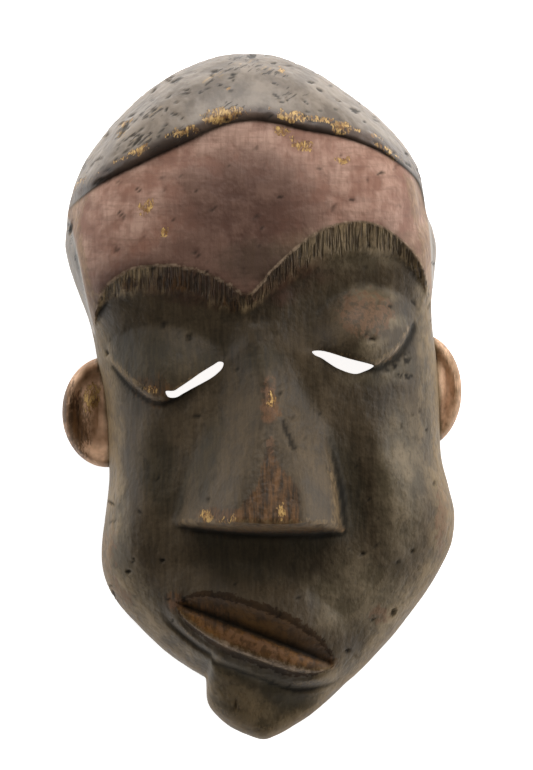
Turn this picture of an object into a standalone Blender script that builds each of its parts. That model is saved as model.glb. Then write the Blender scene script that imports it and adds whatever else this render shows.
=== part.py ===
"""A carved wooden face mask with a twisted face, lying face up on the rim of its hollow back.

The frame has +Z out of the face, +Y towards the crown and +X to the right of a person who looks at the face.
Its origin is in the middle of the mask's box, on the plane of the rim. Lengths are in millimetres until the
meshes are made, and the face is worked out as one height over the plan, from named curves and forms.
"""

import math

import bmesh
import bpy
import numpy as np
from mathutils import Matrix, Vector

METRES = 0.001

# Driving dimensions
HALF_WIDTH = 82.0
HALF_LENGTH = 154.5
WALL = 11.0
NOSE_RISE = 35.0

# The widest line of the head seen from in front, clockwise from the crown, without the knob of the chin
OUTLINE = (
    (-12.9, 154.2), (0.0, 154.0), (10.8, 151.8), (24.5, 145.6), (34.9, 139.1), (45.2, 131.5), (55.5, 122.5),
    (64.5, 112.3), (70.4, 102.0), (72.5, 92.6), (74.0, 82.4), (76.9, 75.1), (78.6, 66.8), (77.5, 53.5),
    (76.4, 42.1), (77.0, 28.1), (78.8, 12.4), (80.0, -9.7), (80.2, -21.2), (81.2, -30.0), (83.8, -40.1),
    (86.5, -50.0), (86.8, -57.5), (85.7, -65.0), (83.1, -71.6), (78.3, -80.8), (71.4, -91.6), (55.4, -111.8),
    (38.0, -129.0), (22.0, -138.5), (4.0, -139.5), (-12.0, -134.0), (-24.8, -127.3), (-35.0, -121.1),
    (-45.9, -113.0), (-61.7, -97.0), (-68.9, -86.6), (-72.1, -76.0), (-72.3, -67.0), (-70.9, -55.0),
    (-69.0, -40.0), (-69.0, -28.0), (-69.4, -12.0), (-71.2, 4.0), (-74.2, 17.5), (-77.1, 31.3), (-82.0, 45.0),
    (-86.6, 58.2), (-88.6, 67.5), (-88.2, 76.0), (-87.4, 84.0), (-84.6, 94.4), (-78.9, 106.6), (-66.7, 123.1),
    (-52.3, 136.8), (-38.0, 146.2), (-23.7, 152.0),
)
# The edge of the knob of the chin, from its notch on the left round to the right jaw
CHIN_EDGE = (
    (-24.0, -123.0), (-24.7, -127.5), (-25.1, -131.5), (-24.3, -138.1), (-20.3, -144.0), (-13.2, -149.7),
    (-1.2, -154.5), (5.9, -153.1), (14.1, -148.7), (25.0, -141.0), (38.0, -129.0),
)

# Heights along the mask, as pairs of y and a value
WIDEST_LINE_HEIGHT = ((-155.0, 34.0), (-60.0, 36.0), (0.0, 38.0), (60.0, 42.0), (155.0, 46.0))
DOME_HEIGHT = ((-155.0, 82.0), (-100.0, 84.0), (-40.0, 84.0), (0.0, 86.0), (45.0, 90.0), (90.0, 95.0), (155.0, 97.0))
DOME_SQUARENESS = ((-155.0, 2.5), (-60.0, 2.7), (0.0, 3.0), (60.0, 3.5), (155.0, 3.0))

# Where the forehead ends: up the left temple, along the edge of the hair and down the right temple
HAIRLINE = (
    (-74.5, 27.0), (-78.3, 43.4), (-81.9, 61.4), (-85.6, 77.2), (-87.0, 84.1), (-71.4, 95.8), (-51.9, 105.5),
    (-32.4, 114.6), (-18.9, 120.9), (-5.1, 123.6), (6.6, 122.2), (18.3, 119.4), (35.8, 116.2), (49.5, 111.4),
    (61.2, 104.6), (69.6, 97.2), (72.7, 89.0), (74.8, 76.0), (75.9, 60.0), (76.2, 44.0),
)
# The sharp upper edge of the joined brow, and the lower edge of its bevel
BROW_CREST = (
    (-79.0, 20.0), (-76.1, 30.0), (-72.3, 45.0), (-66.8, 51.9), (-59.9, 56.5), (-52.3, 58.4), (-42.7, 58.8),
    (-32.4, 57.4), (-22.0, 54.0), (-14.0, 49.6), (-5.4, 45.7), (3.9, 56.0), (12.8, 64.3), (21.1, 71.1),
    (31.4, 76.3), (41.8, 78.1), (50.7, 77.0), (59.0, 72.5), (65.9, 66.4), (71.4, 58.7), (74.8, 50.0), (79.0, 36.0),
)
BROW_FOOT = (
    (-80.0, 17.0), (-75.6, 31.5), (-70.2, 40.9), (-59.9, 43.8), (-42.8, 45.2), (-32.4, 43.0), (-22.0, 38.8),
    (-8.2, 36.4), (-0.9, 40.4), (7.3, 46.6), (17.6, 52.8), (27.9, 58.6), (38.3, 61.5), (48.6, 62.9),
    (59.0, 62.0), (66.4, 56.7), (71.6, 49.3), (80.0, 32.0),
)
# The sides of the nose, as pairs of y and x, and the line where its cut-off end meets the face
NOSE_LEFT = ((-60.0, -38.0), (-50.0, -33.8), (-40.0, -31.0), (-29.0, -27.0), (-10.0, -21.3), (15.0, -17.5), (38.0, -13.0))
NOSE_RIGHT = ((-60.0, 35.4), (-43.0, 33.6), (-31.0, 31.4), (-15.0, 27.4), (-2.0, 22.5), (21.0, 15.0), (38.0, 9.0))
NOSE_END = ((-38.0, -57.6), (-20.0, -60.8), (0.0, -62.2), (20.0, -62.0), (36.0, -61.2))
NOSE_TIP = ((-37.0, -57.0), (-20.0, -57.4), (0.0, -57.2), (20.0, -57.8), (35.4, -60.0))
NOSE_END_SLOPE = 7.0
NOSE_RIDGE = ((-57.5, 3.6), (-25.0, 3.2), (0.0, 2.2), (20.0, -1.5), (38.0, -4.8))

# The mouth's middle, its turn in degrees, and half its length; then the lips across it, as pairs of a share of
# its half height and a height
MOUTH = (-3.2, -106.6)
MOUTH_TURN = -21.4
MOUTH_HALF = 37.6
UPPER_LIP = 12.0
LOWER_LIP = 9.6
LIP_CREASE = 16.8
LIPS = (
    (-1.3, 0.0), (-1.18, -0.2), (-1.1, -0.9), (-0.97, 0.8), (-0.8, 0.3), (-0.4, -2.2), (-0.14, -4.4),
    (0.06, -7.6), (0.2, -6.2), (0.5, -4.6), (0.8, -2.4), (0.98, 0.2), (1.1, 0.5), (1.4, 0.0),
)

# The lower edges of the two lids, from left to right
LEFT_LID_EDGE = (
    (-66.2, 13.3), (-60.6, 7.1), (-55.1, 2.3), (-49.6, -1.3), (-44.1, -2.2), (-38.6, 0.6), (-28.4, 8.2),
    (-19.4, 14.3), (-13.0, 20.3), (-9.6, 23.0),
)
RIGHT_LID_EDGE = (
    (21.0, 20.4), (28.0, 19.2), (38.7, 15.9), (49.3, 13.5), (54.2, 15.0), (59.6, 19.0), (64.0, 25.0), (66.7, 31.1),
)
# The openings under the lids, that the wearer looks through
LEFT_SLIT = (
    (-43.2, 2.4), (-41.9, -0.2), (-38.4, -0.3), (-30.6, 4.0), (-23.4, 7.9), (-19.8, 10.6), (-17.8, 12.8),
    (-17.3, 15.1), (-19.4, 15.6), (-27.9, 10.4), (-36.9, 4.2), (-39.6, 2.6),
)
RIGHT_SLIT = (
    (22.6, 20.3), (23.6, 18.6), (27.0, 17.0), (33.5, 12.8), (41.1, 10.2), (46.0, 11.4), (49.6, 13.2), (49.0, 14.4),
    (38.9, 17.0), (28.0, 20.3),
)


def ramp(low, high, value):
    """A smooth step from 0 at low to 1 at high."""
    share = np.clip((value - low) / (high - low), 0.0, 1.0)
    return share * share * (3.0 - 2.0 * share)


def through(stations, value):
    """The smooth curve through pairs of place and height, read at each value."""
    place, height = np.array(stations).T
    slope = np.gradient(height, place)
    value = np.clip(value, place[0], place[-1])
    i = np.clip(np.searchsorted(place, value) - 1, 0, len(place) - 2)
    span = place[i + 1] - place[i]
    t = (value - place[i]) / span
    return (
        height[i] * (1 + 2 * t) * (1 - t) ** 2
        + slope[i] * span * t * (1 - t) ** 2
        + height[i + 1] * t * t * (3 - 2 * t)
        + slope[i + 1] * span * t * t * (t - 1)
    )


def traced(points, closed=False, steps=4):
    """A denser line on the smooth curve through the points."""
    p = np.array(points)
    if closed:
        p = np.vstack([p[-1], p, p[0], p[1]])
    else:
        p = np.vstack([2 * p[0] - p[1], p, 2 * p[-1] - p[-2]])
    t = (np.arange(steps) / steps)[:, None]
    line = []
    for a, b, c, d in zip(p, p[1:], p[2:], p[3:]):
        line.append(
            b
            + 0.5 * (c - a) * t
            + (a - 2.5 * b + 2 * c - 0.5 * d) * t**2
            + 0.5 * (3 * (b - c) + d - a) * t**3
        )
    return np.vstack(line + ([] if closed else [p[-2:-1]]))


def foot_on(line, x, y):
    """Each point's signed distance to a line, positive on the line's left, and the nearest place on it."""
    start, run = line[:-1], np.diff(line, axis=0)
    length2 = (run**2).sum(1)
    point = np.stack([x, y], 1)
    distance = np.empty(len(x))
    foot = np.empty_like(point)
    for first in range(0, len(x), 8192):
        part = point[first : first + 8192, None, :]
        share = np.clip(((part - start) * run).sum(2) / length2, 0.0, 1.0)
        near = start + share[..., None] * run
        gap2 = ((part - near) ** 2).sum(2)
        best = gap2.argmin(1)
        row = np.arange(len(best))
        foot[first : first + 8192] = near[row, best]
        gap = part[:, 0] - start[best]
        side = np.sign(run[best, 0] * gap[:, 1] - run[best, 1] * gap[:, 0])
        distance[first : first + 8192] = side * np.sqrt(gap2[row, best])
    return distance, foot


def turned(x, y, centre, degrees):
    """The place in a frame at centre, turned anticlockwise."""
    c, s = math.cos(math.radians(degrees)), math.sin(math.radians(degrees))
    return (x - centre[0]) * c + (y - centre[1]) * s, (y - centre[1]) * c - (x - centre[0]) * s


def mound(x, y, centre, radii, degrees=0.0, power=2.0):
    """A smooth round form, 1 at its centre and 0 at the edge of a turned ellipse."""
    u, v = turned(x, y, centre, degrees)
    return np.clip(1 - (u / radii[0]) ** 2 - (v / radii[1]) ** 2, 0, None) ** power


def reach(points, angle):
    """How far an outline lies from the middle in the direction of each angle."""
    line = traced(points, closed=points is OUTLINE)
    at = np.arctan2(line[:, 1], line[:, 0])
    order = np.argsort(at)
    far = np.hypot(line[:, 0], line[:, 1])[order]
    if points is OUTLINE:
        return np.interp(angle, at[order], far, period=2 * math.pi)
    return np.interp(angle, at[order], far, left=0.0, right=0.0)


def out_from_middle(x, y):
    """The share of the way from the middle of the face to its widest line."""
    return np.hypot(x, y) / reach(OUTLINE, np.arctan2(y, x))


def domed(x, y):
    """The plain rounded block that the face is cut from, and the height of its widest line."""
    side = through(WIDEST_LINE_HEIGHT, y)
    squareness = through(DOME_SQUARENESS, y)
    inner = np.clip(1 - np.clip(out_from_middle(x, y), 0, 1) ** squareness, 0, 1)
    return side + (through(DOME_HEIGHT, y) - side) * np.sqrt(inner), side


def hair(z, side, x, y):
    """The cap of hair rolls up over the forehead along its edge, and lies further back at the temples."""
    past, _ = foot_on(traced(HAIRLINE), x, y)
    over = ramp(80.0, 98.0, y)
    thick = mound(x, y, (-48.0, 108.0), (44.0, 46.0), power=1)
    roll = np.clip(past / (4.5 + 3.0 * thick), 0, 1)
    temple = 1 - 0.5 * (1 - over) * ramp(26.0, 40.0, y) * ramp(-0.3, 1.2, past)
    return side + (z - side) * temple + (3.8 + 2.0 * thick) * np.sqrt(1 - (1 - roll) ** 2) * over


def forehead(x, y):
    """The forehead stands out over the eyes, down a bevel under the sharp crest of the brow."""
    above, _ = foot_on(traced(BROW_CREST), x, y)
    over_foot, _ = foot_on(traced(BROW_FOOT), x, y)
    bevel = np.clip(over_foot / np.clip(over_foot - above, 0.01, None), 0, 1)
    bevel = np.where(above >= 0, 1.0, np.where(over_foot <= 0, 0.0, bevel)) * ramp(8, 16, y)
    return 10.5 * bevel * (1 - 0.45 * ramp(0, 60, above))


def eye(x, y, edge, socket, socket_radii, lid, lid_radii, swell):
    """A hooded lid that swells out of a hollow socket and ends in an edge over the slit."""
    past, _ = foot_on(traced(edge), x, y)
    hollow = mound(x, y, socket, socket_radii, power=1.2)
    upper = ramp(-0.6, 0.6, past)
    return upper * (swell * mound(x, y, lid, lid_radii, power=1.35) - 7.0 * hollow) - 3.0 * (1 - upper) * hollow


def nose(x, y):
    """A wedge that widens from a soft root to a cut-off end, with a flat pad on its tip and flared wings."""
    t = np.clip((38.0 - y) / (38.0 + 57.5), 0, 1)
    ridge = through(NOSE_RIDGE, y)
    edge = np.where(x < ridge, through(NOSE_LEFT, y), through(NOSE_RIGHT, y))
    over = np.abs((x - ridge) / (edge - ridge))
    wing = np.where(x < ridge, 0.16, 0.34) * ramp(0.3, 0.9, t)
    fall = np.where(x < ridge, 1.4 - 0.5 * ramp(0.3, 0.8, t), 1.4 - 0.75 * ramp(0.3, 0.8, t))
    facet = (1.08 + 0.47 * ramp(0.35, 1.0, t)) * np.clip(1 - over, 0, 1) ** fall
    pad = 1.0 - (0.7 - 0.48 * ramp(0.3, 0.9, t)) * over**2
    body = wing + (1 - wing) * np.minimum(facet, np.clip(pad, 0, 1))
    beside = (over - 1) * np.abs(edge - ridge)
    spill = np.where(x < ridge, 7.0 - 4.0 * t, 8.0 - 6.5 * ramp(0.35, 0.6, t))
    body = np.where(beside > 0, wing * (1 - ramp(0, 1, beside / spill)), body)
    rise = NOSE_RISE * t**1.15
    return np.minimum(rise * body, np.clip(y - through(NOSE_END, x), 0, None) * NOSE_END_SLOPE)


def taper(along, half_length, power, bluntness=2.5):
    """The shape of an almond along its axis, 1 at its middle."""
    return np.clip(1 - np.abs(along / half_length) ** bluntness, 0, None) ** power


def mouth(x, y):
    """Slanted lips, cut as a boat-shaped hollow with a deep parting line, on a raised muzzle."""
    along, over = turned(x, y, MOUTH, MOUTH_TURN)
    low = LOWER_LIP * taper(along, MOUTH_HALF, 0.6)
    half = np.where(over > 0, UPPER_LIP * taper(along, MOUTH_HALF, 0.6), low)
    lips = through(LIPS, over / np.clip(half, 0.5, None)) * (0.3 + 0.7 * taper(along, MOUTH_HALF, 0.7, 2.0))
    lips *= ramp(0.0, 3.0, half)
    crease = LIP_CREASE * taper(along, 47.0, 0.6, 2.0)
    below = (-over - low) / np.clip(crease - low, 2.0, None)
    outer = -3.2 * ramp(0.05, 0.85, below) * (1 - ramp(1.6, 4.5, below))
    outer -= 1.4 * np.exp(-(((over + crease) / 1.3) ** 2))
    outer *= (1 - ramp(32.0, 46.0, np.abs(along))) * (over < 0)
    return 8.0 * mound(x, y, (-4.0, -106.0), (52.0, 29.0), MOUTH_TURN, power=1.1) + lips + outer


def mouth_lines():
    """The lines of the mouth in the plan: its upper edge, its parting, the crest of the lower lip and the crease."""
    along = np.linspace(-MOUTH_HALF, MOUTH_HALF, 25)
    c, s = math.cos(math.radians(MOUTH_TURN)), math.sin(math.radians(MOUTH_TURN))
    for over in (
        UPPER_LIP * taper(along, MOUTH_HALF, 0.6),
        0.6 * taper(along, MOUTH_HALF, 0.5),
        -LOWER_LIP * taper(along, MOUTH_HALF, 0.6),
        -LIP_CREASE * taper(along, 47.0, 0.6, 2.0),
    ):
        yield np.stack([MOUTH[0] + along * c - over * s, MOUTH[1] + along * s + over * c], 1)


def cheeks_and_chin(x, y):
    """The hollows beside and under the nose, the full cheeks and the chin."""
    return (
        -5.0 * mound(x, y, (2.0, -76.0), (46.0, 17.0))
        - 4.0 * mound(x, y, (42.0, -40.0), (16.0, 40.0), 8.0)
        - 3.0 * mound(x, y, (-40.0, -35.0), (17.0, 44.0), -10.0)
        + 3.0 * mound(x, y, (58.0, -45.0), (26.0, 50.0), 5.0)
        + 2.0 * mound(x, y, (-56.0, -55.0), (22.0, 50.0))
        - 5.0 * mound(x, y, (8.0, -133.0), (34.0, 15.0), -20.0)
        + 6.0 * mound(x, y, (-13.0, -140.0), (18.0, 16.0))
    )


def face_height(x, y):
    """The height of the carved front at each place of the plan."""
    z, side = domed(x, y)
    inside = 1 - ramp(0.93, 1.0, out_from_middle(x, y))
    z = z + forehead(x, y) * inside
    z = hair(z, side, x, y)
    z = z + inside * (
        eye(x, y, LEFT_LID_EDGE, (-42.0, 20.0), (38.0, 26.0), (-43.0, 7.0), (33.0, 24.0), 13.0)
        + eye(x, y, RIGHT_LID_EDGE, (42.0, 38.0), (37.0, 27.0), (46.5, 26.0), (27.5, 23.5), 14.5)
    )
    z = z + nose(x, y)
    return z + inside * (mouth(x, y) + cheeks_and_chin(x, y))


def plan_of_grid(u, v):
    """Turns a square grid from -1 to 1 into the plan of the shell.

    Returns x, y, the share of the way to the widest line, and the share of the way down the wall past it.
    """
    front = 0.87
    p, q = u * np.sqrt(1 - v * v / 2), v * np.sqrt(1 - u * u / 2)
    r = np.clip(np.hypot(p, q), 1e-9, 1)
    out = np.sin(np.clip(r / front, 0, 1) * math.pi / 2)
    x, y = p / r * out * HALF_WIDTH, q / r * out * HALF_LENGTH
    angle = np.arctan2(y, x)
    oval = HALF_WIDTH * HALF_LENGTH / np.hypot(HALF_LENGTH * np.cos(angle), HALF_WIDTH * np.sin(angle))
    stretch = 1 + (reach(OUTLINE, angle) / oval - 1) * out**2
    return x * stretch, y * stretch, out, np.clip((r - front) / (1 - front), 0, 1)


def gathered(x, y, out, width, strength):
    """Draws the grid together along the carved edges, so that they come out crisp."""
    loose = 1 - ramp(0.85, 0.98, out)
    edges = [traced(e) for e in (HAIRLINE, BROW_CREST, LEFT_LID_EDGE, RIGHT_LID_EDGE, NOSE_TIP, NOSE_END)]
    for edge in edges + list(mouth_lines()):
        gap, foot = foot_on(edge, x, y)
        pull = strength * loose * np.exp(-((gap / width) ** 2))
        x, y = x + (foot[:, 0] - x) * pull, y + (foot[:, 1] - y) * pull
    return x, y


def turned_in(down):
    """How far the side wall draws in on its way down to the rim."""
    return 1 - 0.035 * ramp(0.0, 1.0, down)


def shell_points(u, v, width=4.2, strength=0.8):
    """The outside of the mask in millimetres for each place of the square grid."""
    x, y, out, down = plan_of_grid(u, v)
    gx, gy = gathered(x, y, out, width, strength)
    z = np.where(down > 0, through(WIDEST_LINE_HEIGHT, y) * (1 - down), face_height(gx, gy))
    angle = np.arctan2(gy, gx)
    knob = np.clip(reach(CHIN_EDGE, angle) - reach(OUTLINE, angle), 0, None) * ramp(0.84, 1.0, out)
    knob *= 1 - 0.75 * ramp(0.2, 1.0, down)
    inward = turned_in(down)
    return (gx + knob * np.cos(angle)) * inward, (gy + knob * np.sin(angle)) * inward, z


def mesh_object(name, bm, material=None):
    """Makes an object of a finished bmesh, in metres."""
    bmesh.ops.scale(bm, vec=Vector((METRES,) * 3), verts=bm.verts)
    mesh = bpy.data.meshes.new(name)
    bm.to_mesh(mesh)
    bm.free()
    obj = bpy.data.objects.new(name, mesh)
    bpy.context.scene.collection.objects.link(obj)
    if material:
        mesh.materials.append(material)
    return obj


def solid_from_grid(across, along, place):
    """A closed solid: a grid moved by place, with a flat bottom across its rim."""
    bm = bmesh.new()
    bmesh.ops.create_grid(bm, x_segments=across, y_segments=along, size=1.0)
    grid = np.array([v.co for v in bm.verts])
    spots = np.stack(place(np.clip(grid[:, 0], -1, 1), np.clip(grid[:, 1], -1, 1)), 1)
    for vert, spot in zip(bm.verts, spots):
        vert.co = spot
    rim = [e for e in bm.edges if e.is_boundary]
    bmesh.ops.contextual_create(bm, geom=rim)
    bmesh.ops.recalc_face_normals(bm, faces=bm.faces)
    return bm


def hollow_points(u, v):
    """The hollow behind the face, a wall's thickness inside the block it is cut from."""
    x, y, out, down = plan_of_grid(u, v)
    shrink = (1 - WALL / reach(OUTLINE, np.arctan2(y, x))) * turned_in(down)
    x, y = x * shrink, y * shrink
    dome = through(DOME_HEIGHT, y) - 13.5
    side = through(WIDEST_LINE_HEIGHT, y) - 6.0
    z = side + (dome - side) * np.sqrt(np.clip(1 - out**2.4, 0, 1))
    z += 9.0 * mound(x, y, (0.0, -40.0), (24.0, 34.0))
    z = np.where(down > 0, side * (1 - down) - 8.0 * down, z)
    return x, y, z


def ear_points(u, v, centre, radii, outward):
    """A flattened ear with a thin rim round a bowl that faces forward, and a low round ridge beside the cheek."""
    p, q = u * np.sqrt(1 - v * v / 2), v * np.sqrt(1 - u * u / 2)
    r = np.clip(np.hypot(p, q), 1e-9, 1)
    front = 0.66
    behind = np.clip((r - front) / (1 - front), 0, 1)
    out = np.where(r < front, np.sin(r / front * math.pi / 2), 1 - 0.75 * behind**1.5)
    x, y = p / r * out * radii[0], q / r * out * radii[1]
    bowl = 31.0 + 5.0 * ramp(0.62, 0.86, out) - 5.0 * np.clip((out - 0.88) / 0.12, 0, 1) ** 2
    bowl += 5.0 * mound(x * outward, y, (8.5, 1.0), (4.5, 14.0), power=1)
    z = np.where(r < front, bowl, 31.0 - 14.0 * behind**0.7) - 0.18 * x * outward
    return centre[0] + x, centre[1] + y, z


def patinated_wood():
    """Dark brown wood, rubbed to a low sheen."""
    wood = bpy.data.materials.new("patinated_wood")
    wood.use_nodes = True
    surface = wood.node_tree.nodes["Principled BSDF"]
    surface.inputs["Base Color"].default_value = (0.075, 0.050, 0.038, 1.0)
    surface.inputs["Roughness"].default_value = 0.5
    surface.inputs["Metallic"].default_value = 0.0
    return wood


def prism(name, corners, bottom, top):
    """A tool that cuts an opening of the given plan."""
    bm = bmesh.new()
    ring = bmesh.ops.create_circle(bm, cap_ends=True, segments=len(corners), radius=1.0)["verts"]
    for vert, (x, y) in zip(ring, corners):
        vert.co = (x, y, bottom)
    raised = bmesh.ops.extrude_face_region(bm, geom=list(bm.faces), use_keep_orig=True)["geom"]
    ends = [g for g in raised if isinstance(g, bmesh.types.BMVert)]
    bmesh.ops.translate(bm, vec=Vector((0, 0, top - bottom)), verts=ends)
    bmesh.ops.recalc_face_normals(bm, faces=bm.faces)
    return mesh_object(name, bm)


def combine(target, helper, operation):
    """Adds or takes away a helper that is itself not rendered."""
    helper.hide_render = True
    helper.display_type = "WIRE"
    step = target.modifiers.new(helper.name, "BOOLEAN")
    step.operation, step.object, step.solver = operation, helper, "EXACT"


def main():
    for old in list(bpy.data.objects):
        bpy.data.objects.remove(old)
    mask = mesh_object("mask", solid_from_grid(46, 76, shell_points), patinated_wood())
    for name, centre, radii, outward in (
        ("left_ear", (-70.0, -7.0), (20.4, 25.0), -1),
        ("right_ear", (71.0, 2.5), (19.2, 26.0), 1),
    ):
        ear = solid_from_grid(16, 20, lambda u, v: ear_points(u, v, centre, radii, outward))
        combine(mask, mesh_object(name, ear), "UNION")
    combine(mask, mesh_object("hollow", solid_from_grid(22, 36, hollow_points)), "DIFFERENCE")
    combine(mask, prism("left_slit", LEFT_SLIT, 20.0, 140.0), "DIFFERENCE")
    combine(mask, prism("right_slit", RIGHT_SLIT, 20.0, 140.0), "DIFFERENCE")


if __name__ == "__main__":
    main()
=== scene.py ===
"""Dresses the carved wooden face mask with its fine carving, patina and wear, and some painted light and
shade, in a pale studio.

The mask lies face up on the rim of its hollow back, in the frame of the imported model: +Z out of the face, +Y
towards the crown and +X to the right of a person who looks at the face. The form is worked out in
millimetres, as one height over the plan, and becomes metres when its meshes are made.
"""

from __future__ import annotations

import logging
import math
from collections.abc import Callable, Iterator
from dataclasses import dataclass, field
from enum import Enum

import bmesh
import bpy
import numpy as np
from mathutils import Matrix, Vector, noise

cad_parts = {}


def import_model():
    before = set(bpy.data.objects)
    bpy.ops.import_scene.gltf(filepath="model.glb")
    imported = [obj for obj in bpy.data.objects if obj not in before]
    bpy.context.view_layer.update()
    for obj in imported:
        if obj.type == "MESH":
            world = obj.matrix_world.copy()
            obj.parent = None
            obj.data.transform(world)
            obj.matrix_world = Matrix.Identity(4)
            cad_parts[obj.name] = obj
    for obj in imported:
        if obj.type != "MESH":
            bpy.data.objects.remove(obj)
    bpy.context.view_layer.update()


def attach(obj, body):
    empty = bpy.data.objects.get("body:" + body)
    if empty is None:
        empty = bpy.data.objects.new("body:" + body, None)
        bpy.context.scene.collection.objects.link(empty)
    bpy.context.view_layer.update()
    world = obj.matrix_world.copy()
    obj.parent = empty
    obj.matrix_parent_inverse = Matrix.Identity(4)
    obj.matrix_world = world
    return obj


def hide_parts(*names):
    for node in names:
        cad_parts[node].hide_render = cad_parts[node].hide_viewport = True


Array = np.ndarray
Curve = tuple[tuple[float, float], ...]
METRES = 0.001
LOG = logging.getLogger("mask")


def linear(colour: str) -> tuple[float, float, float, float]:
    """Turns an sRGB hex colour into linear red, green, blue and alpha.

    Args:
        colour: The colour as "#rrggbb".

    Returns:
        The four linear values.
    """
    parts = [int(colour[i : i + 2], 16) / 255 for i in (1, 3, 5)]
    r, g, b = (c / 12.92 if c <= 0.04045 else ((c + 0.055) / 1.055) ** 2.4 for c in parts)
    return r, g, b, 1.0


def ramp(low: float, high: float, value: Array) -> Array:
    """Makes a smooth step.

    Args:
        low: Where the step starts.
        high: Where it ends.
        value: The places to read it at.

    Returns:
        0 before low, 1 past high and a smooth rise between them.
    """
    share = np.clip((value - low) / (high - low), 0.0, 1.0)
    return share * share * (3.0 - 2.0 * share)


def through(stations: Curve, value: Array) -> Array:
    """Reads the smooth curve through a few stations.

    Args:
        stations: Pairs of a place and its height.
        value: The places to read it at.

    Returns:
        The height at each place, level past both ends.
    """
    place, height = np.array(stations).T
    slope = np.gradient(height, place)
    value = np.clip(value, place[0], place[-1])
    i = np.clip(np.searchsorted(place, value) - 1, 0, len(place) - 2)
    span = place[i + 1] - place[i]
    t = (value - place[i]) / span
    return (
        height[i] * (1 + 2 * t) * (1 - t) ** 2
        + slope[i] * span * t * (1 - t) ** 2
        + height[i + 1] * t * t * (3 - 2 * t)
        + slope[i + 1] * span * t * t * (t - 1)
    )


def traced(points: Curve, closed: bool = False, steps: int = 6) -> Array:
    """Draws a smooth curve through the points of a line in the plan.

    Args:
        points: The line's points.
        closed: Whether the line returns to its start.
        steps: How many short lines stand for each stretch.

    Returns:
        The points of the denser line.
    """
    p = np.array(points)
    if closed:
        p = np.vstack([p[-1], p, p[0], p[1]])
    else:
        p = np.vstack([2 * p[0] - p[1], p, 2 * p[-1] - p[-2]])
    t = (np.arange(steps) / steps)[:, None]
    line = []
    for a, b, c, d in zip(p, p[1:], p[2:], p[3:]):
        bend = (a - 2.5 * b + 2 * c - 0.5 * d) * t**2 + 0.5 * (3 * (b - c) + d - a) * t**3
        line.append(b + 0.5 * (c - a) * t + bend)
    return np.vstack(line + ([] if closed else [p[-2:-1]]))


def foot_on(line: Array, x: Array, y: Array) -> tuple[Array, Array]:
    """Measures how far places lie from a line in the plan.

    Args:
        line: The points of the line.
        x: The places' x.
        y: The places' y.

    Returns:
        The distances, positive on the left of the line's direction, and the nearest places on the line.
    """
    start, run = line[:-1], np.diff(line, axis=0)
    length2 = (run**2).sum(1)
    point = np.stack([x, y], 1)
    distance = np.empty(len(x))
    foot = np.empty_like(point)
    for first in range(0, len(x), 8192):
        part = point[first : first + 8192, None, :]
        share = np.clip(((part - start) * run).sum(2) / length2, 0.0, 1.0)
        near = start + share[..., None] * run
        gap2 = ((part - near) ** 2).sum(2)
        best = gap2.argmin(1)
        row = np.arange(len(best))
        foot[first : first + 8192] = near[row, best]
        gap = part[:, 0] - start[best]
        side = np.sign(run[best, 0] * gap[:, 1] - run[best, 1] * gap[:, 0])
        distance[first : first + 8192] = side * np.sqrt(gap2[row, best])
    return distance, foot


def beside(points: Curve, x: Array, y: Array) -> Array:
    """Gives the signed distance to a smooth line through the points, positive on its left."""
    return foot_on(traced(points), x, y)[0]


def turned(x: Array, y: Array, centre: tuple[float, float], degrees: float) -> tuple[Array, Array]:
    """Reads places in a frame of their own.

    Args:
        x: The places' x.
        y: The places' y.
        centre: The frame's origin.
        degrees: The frame's turn, anticlockwise.

    Returns:
        The places along and across the turned frame.
    """
    c, s = math.cos(math.radians(degrees)), math.sin(math.radians(degrees))
    return (x - centre[0]) * c + (y - centre[1]) * s, (y - centre[1]) * c - (x - centre[0]) * s


def mound(
    x: Array,
    y: Array,
    centre: tuple[float, float],
    radii: tuple[float, float],
    degrees: float = 0.0,
    power: float = 2.0,
) -> Array:
    """Makes a smooth round form.

    Args:
        x: The places' x.
        y: The places' y.
        centre: The middle of the form.
        radii: The half axes of the ellipse it ends at.
        degrees: The turn of the ellipse.
        power: How softly it ends.

    Returns:
        1 at the middle, falling to 0 at the ellipse.
    """
    u, v = turned(x, y, centre, degrees)
    return np.clip(1 - (u / radii[0]) ** 2 - (v / radii[1]) ** 2, 0, None) ** power


def almond(along: Array, half_length: float, power: float, bluntness: float = 2.5) -> Array:
    """Gives the half height of an almond along its axis, 1 at its middle."""
    return np.clip(1 - np.abs(along / half_length) ** bluntness, 0, None) ** power


def hump(value: Array, width: float) -> Array:
    """Gives 1 where the value is 0, falling away smoothly over the given width on both sides."""
    return np.exp(-((value / width) ** 2))


def on_disc(u: Array, v: Array) -> tuple[Array, Array, Array]:
    """Rounds a square grid into a disc.

    Args:
        u: The grid's places across, from -1 to 1.
        v: The grid's places along, from -1 to 1.

    Returns:
        The cosine and the sine of each place's direction, and its distance from the middle, at most 1.
    """
    p, q = u * np.sqrt(1 - v * v / 2), v * np.sqrt(1 - u * u / 2)
    r = np.clip(np.hypot(p, q), 1e-9, 1)
    return p / r, q / r, r


def polar(line: Array) -> tuple[Array, Array]:
    """Gives the angles of a line's points round the middle, in order, and their distances."""
    angle = np.arctan2(line[:, 1], line[:, 0])
    order = np.argsort(angle)
    return angle[order], np.hypot(line[:, 0], line[:, 1])[order]


def smooth_minimum(first: Array, second: Array, width: float) -> Array:
    """Gives the smaller of two values, with a smooth change of the given width from one to the other."""
    return (first + second - np.sqrt((first - second) ** 2 + width**2)) / 2


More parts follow.
